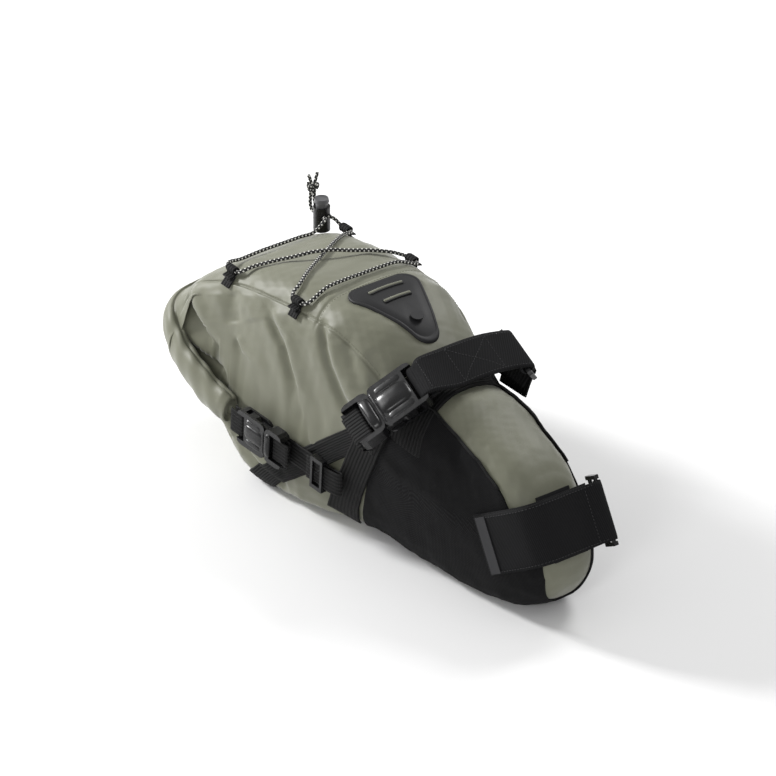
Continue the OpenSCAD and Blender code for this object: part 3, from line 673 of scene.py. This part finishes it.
def build_panel():
    """Black panel from its slanted rear edge to the nose, round the underside."""
    nu, nv = 150, 220
    u = np.linspace(0, 1, nu)
    v = np.linspace(-1, 1, nv)
    U, V = np.meshgrid(u, v, indexing="ij")
    A = np.abs(V)
    rear = np.interp(A, [0, 0.25, 0.5, 0.75, 0.93, 1.0], [10, 14, 28, 44, 58, 72])
    front = np.interp(A, [0, 0.2, 0.4, 0.6, 0.8, 1.0], [196, 206, 216, 221, 219, 208])
    x = rear + (front - rear) * U
    edge_z = np.interp(x, [60, 96, 144, 182, 203, 222], [156, 156, 147, 135, 122, 96])
    top = theta_for(x, edge_z, 1.0)
    th = np.where(V >= 0, -math.pi / 2 + (top + math.pi / 2) * A, -math.pi / 2 - (top + math.pi / 2) * A)
    th = np.where(th < -math.pi / 2, th + 2 * math.pi, th)
    outer = body_point(x, th, 2.0)
    inner = body_point(x, th, 0.4)
    obj = solid_grid("front_panel", outer, inner, BLACK)
    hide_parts("reinforcement_panel")
    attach(obj, "bag")
    # folded binding along the upper edges
    for name, col in (("binding_right", 0), ("binding_left", nv - 1)):
        line = outer[:, col][::5] + np.array([0, 0, 0.3])
        tube(name, line, 1.3, WEB_CAD, "bag", sides=8, steps=2)


def band(name, nodes, xc, width, theta0, theta1, rows, offset, thickness):
    """Webbing round the body: xc(z) gives its centre line, theta runs round the ring."""
    th = np.linspace(theta0, theta1, rows)
    s = np.linspace(-0.5, 0.5, 16)
    TH, S = np.meshgrid(th, s, indexing="ij")
    z = body_point(np.full_like(TH, xc(100.0)), (TH + math.pi) % (2 * math.pi) - math.pi, 0, 0)[..., 2]
    for _ in range(8):
        x = xc(z) + S * width
        wrapped = (TH + math.pi / 2) % (2 * math.pi) - math.pi / 2
        z = 0.5 * z + 0.5 * body_point(x, wrapped, 0, 0)[..., 2]
    outer = body_point(x, wrapped, offset + thickness, 0.8)
    inner = body_point(x, wrapped, offset, 0.8)
    obj = solid_grid(name, outer, inner, WEB)
    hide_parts(*nodes)
    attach(obj, "bag")


def side_band(name, node, sign, top_pt, bottom_pt, width, offset, thickness):
    """Webbing leg on a side between two (x, z) points."""
    t = np.linspace(0, 1, 40)
    s = np.linspace(-0.5, 0.5, 14)
    T, S = np.meshgrid(t, s, indexing="ij")
    dx, dz = bottom_pt[0] - top_pt[0], bottom_pt[1] - top_pt[1]
    ln = math.hypot(dx, dz)
    x = top_pt[0] + dx * T - dz / ln * S * width
    z = top_pt[1] + dz * T + dx / ln * S * width
    th = theta_for(x, z, sign)
    outer = body_point(x, th, offset + thickness, 0.8)
    inner = body_point(x, th, offset, 0.8)
    obj = solid_grid(name, outer, inner, WEB)
    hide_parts(node)
    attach(obj, "bag")


build_body()
for side_name, sign in (("right", -1.0), ("left", 1.0)):
    xs = np.linspace(-205, 36, 140)
    ang = SEAM_ANGLES[0] if sign > 0 else SEAM_ANGLES[1]
    stitches(f"seam_{side_name}", body_point(xs, np.full_like(xs, ang + 0.035 * sign), 0.15), "bag",
             material=THREAD_GREEN)
ys = np.linspace(0.72, 2.42, 90)
xs = np.full_like(ys, -46.0) + 7 * np.cos(ys) ** 2
stitches("seam_across", body_point(xs, ys, 0.15), "bag", material=THREAD_GREEN)
build_panel()
LEG_TOP, LEG_FOOT = (50, 132), (2, 20)
side_band("leg_right_band", "leg_right", -1.0, LEG_TOP, LEG_FOOT, 30, 2.0, 1.3)
side_band("leg_left_band", "leg_left", 1.0, LEG_TOP, LEG_FOOT, 30, 2.0, 1.3)
WAIST_X = 78


def diagonal(z):
    """Centre line of the webbing that runs under the belly."""
    return -119 + 1.33 * np.clip(z, 0, 126)


band("belly_band", ["belly_strap"], diagonal, 38, math.radians(180 - 12), math.radians(360 + 12), 180, 0.5, 1.4)
band("waist_band", ["top_webbing"], lambda z: WAIST_X + 0 * z, 46, math.radians(20), math.radians(160), 80, 0.5, 1.5)

# ---------------------------------------------------------------- rubber patch


def build_patch():
    """Rounded triangle on the top with two slots for a clip."""
    corners = [(-29, -23), (-29, 23), (30, 0)]
    r = 13.6
    outline = []
    for k in range(120):
        a = 2 * math.pi * k / 120
        d = np.array([math.cos(a), math.sin(a)])
        best = max(corners, key=lambda c: c[0] * d[0] + c[1] * d[1])
        outline.append(np.array(best) + r * d)
    outline = np.array(outline)
    # even spacing along the hull
    closed = np.vstack([outline, outline[:1]])
    ln = run_length(closed)
    t = np.linspace(0, ln[-1], 161)[:-1]
    hull = np.stack([np.interp(t, ln, closed[:, i]) for i in (0, 1)], -1)
    centre = hull.mean(0)
    rings = []
    for s, h in ((1.0, 0.3), (1.0, 1.8), (0.975, 2.4), (0.93, 2.4), (0.91, 2.0), (0.89, 2.0), (0.87, 2.4), (0.6, 2.5),
                 (0.3, 2.5), (0.04, 2.5)):
        q = centre + (hull - centre) * s
        rings.append(np.column_stack([q, top_height(q[:, 0], q[:, 1]) + h]))
    p = np.array(rings)
    n, m = p.shape[:2]
    faces = grid_faces(n, m, True) + [tuple((n - 1) * m + j for j in range(m))]
    obj = make_mesh("rubber_patch", p.reshape(-1, 3), faces, (p.reshape(-1, 3)[:, :2]) * MM, RUBBER)
    fix_normals(obj)
    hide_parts("light_patch")
    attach(obj, "bag")
    # two slots: green cloth seen inside a rubber lip
    for k, x in enumerate((-28, -10)):
        half = 18 - 4 * k
        q = [(x + 0.004 * (y * y), y, float(top_height(x, y)) + 2.6) for y in np.linspace(-half, half, 13)]
        tube(f"slot_{k}", q, 1.7, GREEN, "bag", sides=10, steps=2)
        for e, off in (("a", -2.2), ("b", 2.2)):
            lip = [(a + off, b, c + 0.2) for a, b, c in q]
            tube(f"slot_lip_{k}{e}", lip, 0.9, RUBBER, "bag", sides=8, steps=2)


build_patch()

# ---------------------------------------------------------------- rolled mouth

ROLL = [(-137, -94.5, 71), (-160, -95.5, 76), (-192, -95, 86), (-222, -90, 98), (-243, -82, 108), (-253.5, -68, 115),
        (-256, -48, 118),
        (-256, -24, 119), (-256, 0, 119)]
ROLL_A, ROLL_B = 9, 16  # half thickness and half height of the roll


def build_roll():
    """Rolled mouth along its path, with its turns showing at both ends."""
    full = ROLL + [(a, -b, c) for a, b, c in ROLL[-2::-1]]
    p = smooth_path(full, 14)
    n = len(p)
    d = headings(p)
    m = 64
    u = np.cross(d, [0, 0, 1.0])
    u /= np.linalg.norm(u, axis=1, keepdims=True)
    v = np.cross(u, d)
    a = np.linspace(0, 2 * math.pi, m, endpoint=False)
    along = run_length(p)
    rows = []
    for i in range(n):
        end = min(1.0, min(i, n - 1 - i) / 5)
        e = 0.9 + 0.1 * end
        flap = 0.10 * np.exp(-((a - 0.9) / 0.25) ** 2) - 0.14 * np.exp(-((a - 1.35) / 0.12) ** 2)
        crumple = 0.05 * np.sin(along[i] / 9.0 + 2.4 * np.sin(a)) + 0.04 * np.sin(along[i] / 4.1 + 3 * a)
        r = e * (1 + flap + crumple * end)
        rows.append(p[i] + (ROLL_A * r * np.cos(a))[:, None] * u[i] + (ROLL_B * r * np.sin(a))[:, None] * v[i])
    q = np.array(rows)
    faces = grid_faces(n, m, True)
    verts = list(q.reshape(-1, 3))
    # ends show the turns of the roll
    for end, i in ((0, 0), (1, n - 1)):
        prev = [i * m + j for j in range(m)]
        for k, (s, depth) in enumerate(((0.9, -1.0), (0.8, 1.8), (0.66, -0.6), (0.56, 2.0), (0.4, -0.4), (0.3, 2.0),
            (0.1, 2.0))):
            sgn = 1 if end == 0 else -1
            ring = p[i] + (q[i] - p[i]) * s + d[i] * depth * sgn
            ids = list(range(len(verts), len(verts) + m))
            verts += list(ring)
            for j in range(m):
                faces.append((prev[j], prev[(j + 1) % m], ids[(j + 1) % m], ids[j]))
            prev = ids
        faces.append(tuple(prev))
    uv = np.zeros((len(verts), 2))
    g = grid_uv(q).reshape(-1, 2)
    uv[:len(g)] = g
    uv[len(g):] = np.array(verts)[len(g):, :2] * MM
    obj = make_mesh("rolled_mouth", verts, faces, uv, GREEN)
    fix_normals(obj)
    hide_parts("roll_top")
    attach(obj, "bag")


build_roll()


def build_cover():
    """Outer turn of the roll: cloth from the top of the bag over the roll, round both rear corners."""
    half_path = [q for q in ROLL if q[0] <= -222]
    p = smooth_path(half_path + [(a, -b, c) for a, b, c in half_path[-2::-1]], 10)
    d = headings(p)
    u = np.cross(d, [0, 0, 1.0])
    u /= np.linalg.norm(u, axis=1, keepdims=True)
    away = p * [1, 1, 0] - np.array([-150, 0, 0])
    u *= np.sign((u * away).sum(1))[:, None]
    x0 = np.interp(np.abs(p[:, 1]), [0, 60, 82, 92], [-226, -225, -222, -205])
    side = np.clip((np.abs(p[:, 1]) - 40) / 46, 0, 1)
    top, bottom, half, square, lean = station(x0)
    across = np.clip(np.abs(p[:, 1]) / half, 0, 0.9) ** (square / 2)
    turn = (math.pi / 2 - np.arccos(across)) * (1 - side) + (math.pi / 2 - 0.35) * side
    th = math.pi / 2 - turn * np.sign(p[:, 1])
    rows = [body_point(x0 + 14, th, -1.5), body_point(x0, th, 1.2)]
    for a, grow in ((105, 1.10), (85, 1.06), (60, 1.05), (35, 1.05), (10, 1.05), (-15, 1.05), (-40, 1.03), (-60, 0.96)):
        c, e = math.cos(math.radians(a)), math.sin(math.radians(a))
        rows.append(p + ROLL_A * grow * c * u + ROLL_B * grow * e * np.array([0, 0, 1.0]))
    sheet = np.array([smooth_path(np.array(rows)[:, i], 4) for i in range(len(p))])
    ripple = 0.7 * wave_noise(sheet[..., 0], sheet[..., 1], sheet[..., 2], 21, 30)
    sheet[..., 2] += ripple
    inner = sheet - 0.9 * np.stack([-0.5 * np.ones(sheet.shape[:2]), 0 * ripple, np.ones(sheet.shape[:2])], -1)
    obj = solid_grid("roll_cover", sheet, inner, GREEN)
    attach(obj, "bag")


build_cover()

# ---------------------------------------------------------------- shock cord

CORD_D = 3.4
LOOP_Y, REAR_X, MID_X = 64, -172, -72
LOCK = (-200, 57, 181)
CZ = LOCK[2] + 16  # height of the cord through the lock
HOLE = 3
REAR_Z = float(top_height(REAR_X, LOOP_Y)) + 7.8
MID_Z = float(top_height(MID_X, LOOP_Y)) + 8.2


def run(x0, y0, x1, y1, n, bump_mm):
    """Cord laid on the top between two points, raised in the middle where it crosses another."""
    out = []
    for i in range(1, n):
        t = i / n
        x, y = x0 + (x1 - x0) * t, y0 + (y1 - y0) * t
        out.append((x, y, float(top_height(x, y)) + CORD_D / 2 + 1.4 + bump_mm * math.exp(-((t - 0.5) / 0.16) ** 2)))
    return out


ROUTE = (
    [(LOCK[0] - 8.5, LOCK[1] + HOLE, CZ), (LOCK[0], LOCK[1] + HOLE, CZ), (LOCK[0] + 8.5, LOCK[1] + HOLE, CZ),
     (REAR_X - 14, LOOP_Y - 1.5, REAR_Z + 4), (REAR_X - 6, LOOP_Y, REAR_Z), (REAR_X + 6, LOOP_Y, REAR_Z),
     (REAR_X + 12, LOOP_Y - 4, REAR_Z + 2.6)]
    + run(REAR_X + 6, LOOP_Y, MID_X - 6, -LOOP_Y, 9, 0)
    + [(MID_X - 12, -LOOP_Y + 4, MID_Z + 2), (MID_X - 6, -LOOP_Y, MID_Z), (MID_X + 6, -LOOP_Y, MID_Z),
       (MID_X + 11, -LOOP_Y + 5, MID_Z + 2)]
    + run(MID_X + 11, -LOOP_Y + 4, MID_X + 11, LOOP_Y - 4, 6, 0)
    + [(MID_X + 11, LOOP_Y - 5, MID_Z + 2), (MID_X + 6, LOOP_Y, MID_Z), (MID_X - 6, LOOP_Y, MID_Z),
       (MID_X - 12, LOOP_Y - 4, MID_Z + 1.5)]
    + run(MID_X - 6, LOOP_Y, REAR_X + 6, -LOOP_Y, 9, CORD_D + 1.2)
    + [(REAR_X + 12, -LOOP_Y + 4, REAR_Z + 2.6), (REAR_X + 6, -LOOP_Y, REAR_Z), (REAR_X - 6, -LOOP_Y, REAR_Z),
       (REAR_X - 13, -LOOP_Y + 6, REAR_Z)]
    + [(REAR_X - 15, y, float(top_height(REAR_X - 15, y)) + CORD_D / 2 + 2) for y in (-44, -22, 0, 22, 38)]
    + [(REAR_X - 15, 49, CZ - 1), (LOCK[0] + 8.5, LOCK[1] - HOLE, CZ), (LOCK[0], LOCK[1] - HOLE, CZ),
       (LOCK[0] - 8.5, LOCK[1] - HOLE, CZ)]
)
tube("shock_cord", ROUTE, CORD_D / 2, CORD, "bag", ["bungee_cord"], sides=16, steps=7)


def loop_tab(name, node, x, s, z):
    """Folded webbing tab sewn to the top seam with the cord through its fold."""
    r = 3.1
    a = np.array([x, s * LOOP_Y, z])
    out, up = np.array([0, s, 0.0]), np.array([0, 0, 1.0])
    w = np.array([6.0, 0, 0.0])
    foot = []
    for d in (14, 10.5, 7.5):
        y = LOOP_Y + d
        top, bottom, half, square, lean = station(x)
        width = half * (1 - sag(x))
        ang = theta_for(x, min(z - 4.4 - (d - 5) * 1.25, top - 2.0), s)
        foot.append(body_point(x, ang, 1.6))
    rows = [(foot[0], w, 0.8 * unit(out * 0.9 + up * 0.4)), (foot[1], w, 0.8 * unit(out * 0.8 + up * 0.6)),
            (foot[2], w, 0.8 * unit(out * 0.6 + up * 0.8))]
    for deg in (20, 65, 110, 160, 210, 255):
        t = math.radians(deg)
        n = math.cos(t) * out + math.sin(t) * up
        rows.append((a + (r + 0.3) * n, w, 0.8 * n))
    for d, drop in ((3.0, 4.6), (7.0, 5.6)):
        rows.append((a + out * d - up * drop, w, -0.8 * up))
    rows = [(np.asarray(p, float), q, t) for p, q, t in rows]
    strap(name, rows, WEB, "bag", [node], steps=4, across=12)
    stitches(name + "_thread", [foot[1] + w * 0.8 + out * 1.2, foot[1] + out * 1.2, foot[1] - w * 0.8 + out * 1.2],
             "bag", pitch=2.2, length=1.6)


for loop_name, loop_x, loop_z in (("rear", REAR_X, REAR_Z), ("mid", MID_X, MID_Z)):
    loop_tab(f"cord_loop_{loop_name}_right", f"loop_{loop_name}_right", loop_x, -1, loop_z)
    loop_tab(f"cord_loop_{loop_name}_left", f"loop_{loop_name}_left", loop_x, 1, loop_z)


knot_c = np.array([LOCK[0] - 13.4, LOCK[1], CZ + 22.6])
knot_path = [knot_c + np.array([4.3 * math.cos(a) * (1 + 0.25 * math.cos(2 * a)), 4.6 * math.sin(a),
                                2.6 * math.sin(2 * a)])
             for a in np.linspace(0, 2 * math.pi * 0.97, 22)]
knot, _ = tube("overhand_knot", knot_path, CORD_D / 2, CORD, "bag", ["cord_knot"], sides=14, steps=3)
wrap_path = [knot_c + np.array([2.4 * math.sin(a), 4.4 * math.cos(a), 3.8 * math.sin(a)]) for a in np.linspace(0.4,
    2 * math.pi * 0.95, 18)]
wrap, _ = tube("knot_wrap", wrap_path, CORD_D / 2, CORD, "bag", sides=14, steps=3)
for k, s in enumerate((-1, 1)):
    pts = [(LOCK[0] - 8.6, LOCK[1] + s * HOLE, CZ), (LOCK[0] - 12, LOCK[1] + s * HOLE, CZ + 1.5),
           (LOCK[0] - 14, LOCK[1] + s * 2.6, CZ + 5),
           (LOCK[0] - 14.5, LOCK[1] + s * 2.3, CZ + 11), (LOCK[0] - 14, LOCK[1] + s * 2.1, CZ + 17),
           (LOCK[0] - 13.4, LOCK[1] + s * 2.0, CZ + 25),
           (LOCK[0] - 13.0, LOCK[1] + s * 3.0, CZ + 30), (LOCK[0] - 13.0, LOCK[1] + s * 5.0, CZ + 36)]
    obj, line = tube(f"cord_tail_{k}", pts, CORD_D / 2, CORD, "bag", ["cord_tails"] if k == 0 else [], sides=14,
                     steps=6)

# ---------------------------------------------------------------- straps

RAIL_BUCKLE, CLOSURE_BUCKLE = (74, 38, 12), (62, 25, 11)  # length, width, thickness
SOCKET_SHARE = 0.62
RO, RX = np.array([62.9, -74.9, 154.2]), np.array([0.3007, 0.7919, 0.5313])
RY, RN = np.array([-0.9485, 0.1901, 0.2535]), np.array([0.0997, -0.5801, 0.8084])


def rail_pt(x, y, z):
    """Point in the rail buckle's own axes."""
    return RO + x * RX + y * RY + z * RN


RING_C, RING_B = np.array([79, 67.5, 171.0]), np.array([0.88, 0, -0.475])
RING_U, RING_N = np.array([-0.373, 0.62, -0.691]), np.array([0.2945, 0.785, 0.5456])


def ring_at(u, v):
    """Point in the plane across the rail ring."""
    return RING_C + u * RING_U + v * RING_N


LF = SOCKET_SHARE * RAIL_BUCKLE[0]  # far end of the rail socket
hy = -18.5 * RY
hr = 21 * RING_B
hm = (hr + hy) / 2
T = 1.5
strap_rows = [
    (rail_pt(LF + 9, 0, -3.7), hy, -T * RN), (rail_pt(LF + 1, 0, -3.7), hy, -T * RN),
    (rail_pt(LF - 4.2, 0, -3.2), hy, T * unit(-RX - 1.6 * RN)),
    (rail_pt(LF - 6.6, 0, 0), hy, -T * RX), (rail_pt(LF - 4.2, 0, 3.2), hy, T * unit(-RX + 1.6 * RN)),
    (rail_pt(LF + 1, 0, 3.7), hy, T * RN),
    (rail_pt(LF + 9, 0, 4), hm, T * unit((0.25, -0.45, 0.86))),
    (np.array([82, -13, 186.0]), hr, T * unit((0.47, -0.1, 0.87))),
    (np.array([82, 6, 186.4]), hr, T * unit((0.475, 0, 0.88))),
    (np.array([81.5, 28, 185.5]), hr, T * unit((0.47, 0.08, 0.87))),
    (np.array([81, 46, 183.0]), hr, T * unit((0.44, 0.3, 0.84))), (ring_at(-9, 5.2), hr, T * RING_N),
    (ring_at(-4.6, 3.6), hr, T * unit(RING_N + RING_U)), (ring_at(-2.8, 0), hr, T * RING_U),
    (ring_at(-4.6, -3.6), hr, T * unit(RING_U - RING_N)), (ring_at(-10, -4.4), hr, -T * RING_N),
    (ring_at(-18, -4.4), hr, -T * RING_N)]
rail_strap = strap("padded_strap", strap_rows, TWILL, "bag", ["rail_strap"], steps=6, across=18)

link_h = -17 * RY
strap("rail_link_web", [
    (rail_pt(-4, 0, -8.6), link_h, 0.8 * RN), (rail_pt(-20, 0, -8.6), link_h, 0.8 * RN),
    (rail_pt(-31, 0, -9.6), link_h, 0.8 * RN),
    (np.array([44, -81, 121.5]), 17 * np.array([0.93, 0.06, -0.35]), 0.8 * np.array([0, -0.95, 0.3])),
    (np.array([40, -76, 113]), 17 * np.array([0.9, 0.02, -0.42]), 0.8 * np.array([0, -1, 0.05]))], WEB, "bag",
    ["rail_link"])
hx2, hb2, t2 = np.array([19.0, 0, 0]), 19 * RING_B, 0.8
strap("ring_tab_web", [
    (np.array([74, 66.2, 134]), hx2, t2 * np.array([0, 1.0, 0])),
    (np.array([74.5, 72, 151]), (hx2 + hb2) / 2, t2 * unit((0.1, 0.98, 0.1))),
    (ring_at(10.4, 4.2), hb2, t2 * unit((0.2, 0.9, 0.4))), (ring_at(6, 3), hb2, t2 * RING_N),
    (ring_at(4.6, 0), hb2, -t2 * RING_U),
    (ring_at(6, -3), hb2, -t2 * RING_N), (ring_at(12, -3.4), hb2, -t2 * RING_N),
    (np.array([72, 64, 144]), hx2, -t2 * np.array([0, 1.0, 0]))],
    WEB, "bag", ["rail_ring_tab"])

C1, S1 = math.cos(math.radians(4.2)), math.sin(math.radians(4.2))
C2, S2 = math.cos(math.radians(176.2)), math.sin(math.radians(176.2))


def closure_axes():
    def turn(v):
        a = np.array([v[0] * C2 + v[1] * S2, -v[0] * S2 + v[1] * C2, v[2]])
        return np.array([a[0] * C1 + a[2] * S1, a[1], -a[0] * S1 + a[2] * C1])
    return turn((1, 0, 0)), turn((0, 0, -1)), turn((0, 1, 0))


CX, CY, CN = closure_axes()
CO = np.array([-76, -95, 66.0])


def local_strap(name, path, half_w, t, origin, ax, ay, an, material, body_name, nodes, flip=False, steps=6):
    """Strap bent in the local X-N plane with its width along Y."""
    p = np.asarray(path, float)
    d = np.gradient(p, axis=0)
    rows = []
    for (a, c), (da, dc) in zip(p, d):
        ln = math.hypot(da, dc)
        n = -dc / ln * ax + da / ln * an
        rows.append((origin + a * ax + c * an, half_w * ay, t / 2 * n))
    if flip:
        rows = [(r[0] * [1, -1, 1], r[1] * [1, -1, 1], r[2] * [1, -1, 1]) for r in rows]
    return strap(name, rows, material, body_name, nodes, steps=steps)


for side_name, flip in (("right", False), ("left", True)):
    local_strap(f"closure_web_{side_name}", [(-10, -6.9), (-35, -6.9), (-60, -6.9), (-80, -6.9), (-90, -8.4),
        (-93.4, -7.0), (-90, -4.6), (-80, -3), (-66, -3), (-50, -3)],
                12, 1.3, CO, CX, CY, CN, WEB, "bag", [f"closure_strap_{side_name}"], flip)

FOLD_H = 2.75


def fold_loop(name, node, x0, way, low_reach, high_reach, half_w, origin, axes, body_name, flip=False):
    """Webbing folded round a buckle bar."""
    h = FOLD_H
    path = [(x0 - way * low_reach, -h), (x0, -h), (x0 + way * (0.8 + 0.75 * h), -0.75 * h), (x0 + way * (0.8 + h), 0),
            (x0 + way * (0.8 + 0.75 * h), 0.75 * h), (x0, h), (x0 - way * high_reach, h)]
    local_strap(name, path, half_w, 1.6, origin, *axes, WEB, body_name, [node], flip, steps=5)


fold_loop("rail_plug_web", "rail_plug_loop", -17.32, 1, 15, 13, 18.5, RO, (RX, RY, RN), "rail_plug_body")
for side_name, flip in (("right", False), ("left", True)):
    fold_loop(f"plug_web_{side_name}", f"plug_loop_{side_name}", -12.76, 1, 14, 18, 12, CO, (CX, CY, CN),
              f"plug_{side_name}_body", flip)
    fold_loop(f"tab_web_{side_name}", f"closure_tab_{side_name}", 36.44, -1, 13, 13, 12, CO, (CX, CY, CN), "bag", flip)

LEAN = math.atan(0.55)
PX, PZ = np.array([math.cos(LEAN), 0, math.sin(LEAN)]), np.array([-math.sin(LEAN), 0, math.cos(LEAN)])
PO = np.array([226.3, 0, 91.0])
BX, BY = 17.4, 37


def post_strap(name, path, half_w, t, material, body_name, nodes, steps=6):
    return local_strap(name, path, half_w, t, PO, PX, PZ, np.array([0, 1.0, 0]), material, body_name, nodes,
                       steps=steps)


post_strap("post_strap", [(-52, -50.5), (-32, -46.5), (-12, -41.5), (2, -35.6), (9, -27), (12, -16), (12.4, 0),
                          (12, 14), (11.6, 29)],
           28, 1.4, TWILL, "bag", ["seatpost_strap"])
post_strap("post_flap", [
    (BX - 3.6, BY - 1), (BX - 3.4, BY + 1.2), (BX - 2, BY + 3), (BX, BY + 3.7), (BX + 2, BY + 3), (BX + 3.4, BY + 1.2),
    (BX + 3.2, BY - 4),
    (17.2, 26), (15.9, 14), (15.6, -14), (12.4, -29), (4.6, -39), (-10, -45), (-32, -50.6), (-46, -53.8)], 27, 1.4,
    TWILL, "flap_body", ["seatpost_flap"])
post_strap("post_tab", [(-44, 51.4), (-28, 48), (-12, 44.8), (0, 42.4), (BX - 9, 40.4), (BX - 6.4, 39.4),
                        (BX - 5.7, 37), (BX - 6.6, 34.6),
                        (BX - 9, 33.7), (BX - 12, 34.8), (BX - 15, 37.4)], 20, 1.4, WEB, "bag", ["seatpost_tab"])

# ---------------------------------------------------------------- stitching on the straps

STITCH_PALE = rubber("thread_dark_grey", (0.05, 0.05, 0.052), 0.8)
for edge in (-0.86, 0.86):
    strap_seam(f"pad_edge_{'a' if edge < 0 else 'b'}", "padded_strap", [(0.34, edge), (0.74, edge)], "bag",
               material=STITCH_PALE)
for k, a in enumerate((0.36, 0.46, 0.60, 0.72)):
    strap_seam(f"pad_bar_{k}", "padded_strap", [(a, -0.86), (a, 0.86)], "bag", material=STITCH_PALE)
strap_seam("pad_cross_a", "padded_strap", [(0.46, -0.86), (0.60, 0.86)], "bag", material=STITCH_PALE)
strap_seam("pad_cross_b", "padded_strap", [(0.46, 0.86), (0.60, -0.86)], "bag", material=STITCH_PALE)
for edge in (-0.92, 0.92):
    strap_seam(f"flap_edge_{'a' if edge < 0 else 'b'}", "post_flap", [(0.45, edge), (0.99, edge)], "flap_body",
               material=STITCH_PALE)
strap_seam("flap_end", "post_flap", [(0.985, -0.92), (0.985, 0.92)], "flap_body", material=STITCH_PALE)
strap_seam("flap_fold", "post_flap", [(0.52, -0.92), (0.52, 0.92)], "flap_body", material=STITCH_PALE)
for side_name in ("right", "left"):
    strap_seam(f"closure_box_{side_name}", f"closure_web_{side_name}",
               [(0.84, -0.8), (0.97, -0.8), (0.97, 0.8), (0.84, 0.8), (0.84, -0.8), (0.97, 0.8)], "bag",
               material=STITCH_PALE, pitch=2.4, length=1.6)

# ---------------------------------------------------------------- moulded details of the buckles


def pad(name, origin, ax, ay, an, x0, x1, half_y, base, rise, body_name, power=3.2, mirror=False):
    """Domed raised pad on a flat face."""
    nu, nv = 26, 22
    verts = []
    for i in range(nu + 1):
        for j in range(nv + 1):
            a, b = -1 + 2 * i / nu, -1 + 2 * j / nv
            m = max(abs(a), abs(b))
            r = (abs(a) ** 4 + abs(b) ** 4) ** 0.25
            fa, fb = (a * m / r, b * m / r) if r > 0 else (0, 0)
            h = rise * (1 - m ** power) ** 0.5
            q = origin + ((x0 + x1) / 2 + fa * (x1 - x0) / 2) * ax + fb * half_y * ay + (base + h) * an
            verts.append(q * ([1, -1, 1] if mirror else 1))
    uv = [(i / nu * 0.02, j / nv * 0.02) for i in range(nu + 1) for j in range(nv + 1)]
    obj = make_mesh(name, verts, grid_faces(nu + 1, nv + 1), uv, PLASTIC)
    fix_normals(obj)
    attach(obj, body_name)


def buckle_details(tag, origin, ax, ay, an, length, width, thick, socket_body, plug_body, mirror=False):
    """Domes and lips on the upper faces of a socket and its plug."""
    lf, lm = SOCKET_SHARE * length, 0.38 * length
    top = thick / 2
    pad(f"{tag}_socket_dome", origin, ax, ay, an, 2, lf - 11, width * 0.30, top - 0.05, 0.095 * width, socket_body,
        power=2.2, mirror=mirror)
    pad(f"{tag}_socket_lip", origin, ax, ay, an, 0.6, 3.4, width * 0.5, top - 0.05, 0.9, socket_body, mirror=mirror)
    for k, s in enumerate((-1, 1)):
        pad(f"{tag}_socket_wing_{k}", origin + ay * s * width * 0.42, ax, ay, an, 6, lf - 13, width * 0.10, top - 0.05,
            1.0, socket_body, mirror=mirror)
    pad(f"{tag}_plug_dome", origin, ax, ay, an, -lm + 15.6, -1.4, width * 0.47, top - 0.05, 0.11 * width, plug_body,
        power=2.4, mirror=mirror)


buckle_details("rail", RO, RX, RY, RN, *RAIL_BUCKLE, "bag", "rail_plug_body")
for side_name, flip in (("right", False), ("left", True)):
    buckle_details(f"closure_{side_name}", CO, CX, CY, CN, *CLOSURE_BUCKLE, "bag", f"plug_{side_name}_body",
                   mirror=flip)

# ---------------------------------------------------------------- CAD nodes shown as they are

FINISH = {
    "webbing": WEB_CAD, "black_plastic": PLASTIC, "grey_plastic": PLASTIC_GREY, "rubber": RUBBER, "spring_steel": STEEL,
    "stiffener_sheet": SHEET, "hook_loop": TWILL, "green_fabric": GREEN, "black_fabric": BLACK, "shock_cord": CORD}
slots = {s["node"]: s["material_slot"] for s in frame["record"]["subparts"]}
for name, obj in NODES.items():
    obj.data.materials.clear()
    obj.data.materials.append(LABEL if name == "flap_label" else FINISH[slots[name]])
    if slots[name] in ("black_plastic", "grey_plastic", "rubber", "webbing"):
        mod = obj.modifiers.new("round", "BEVEL")
        mod.width = 0.0007 if slots[name] == "webbing" else 0.0009
        mod.segments = 3
        mod.limit_method = "ANGLE"
        mod.angle_limit = math.radians(32)
        mod.harden_normals = False

# ---------------------------------------------------------------- floor and lights

floor_mesh = bpy.data.meshes.new("floor")
floor_mesh.from_pydata([(-6, -6, 0), (6, -6, 0), (6, 6, 0), (-6, 6, 0)], [], [(0, 1, 2, 3)])
floor = link(bpy.data.objects.new("floor", floor_mesh))
floor_mat, _, fb = new_material("floor", (0.86, 0.86, 0.86), 0.9, 0.1)
floor_mesh.materials.append(floor_mat)

world_data = bpy.data.worlds.new("world")
world_data.use_nodes = True
world_data.node_tree.nodes["Background"].inputs["Color"].default_value = (1, 1, 1, 1)
world_data.node_tree.nodes["Background"].inputs["Strength"].default_value = 0.50
bpy.context.scene.world = world_data


def area(name, loc, aim, size, power):
    data = bpy.data.lights.new(name, "AREA")
    data.size = size
    data.energy = power
    o = link(bpy.data.objects.new(name, data))
    o.location = loc
    o.rotation_euler = (Vector(loc) - Vector(aim)).to_track_quat("Z", "Y").to_euler()


area("key", (-1.75, -0.9, 1.15), (0, 0, 0.1), 0.4, 56)
area("rim", (-0.3, 1.5, 1.7), (0, 0, 0.1), 0.8, 24)
area("front", (1.2, -1.5, 1.0), (0, 0, 0.1), 0.5, 9)
bpy.context.scene.view_settings.view_transform = "Standard"
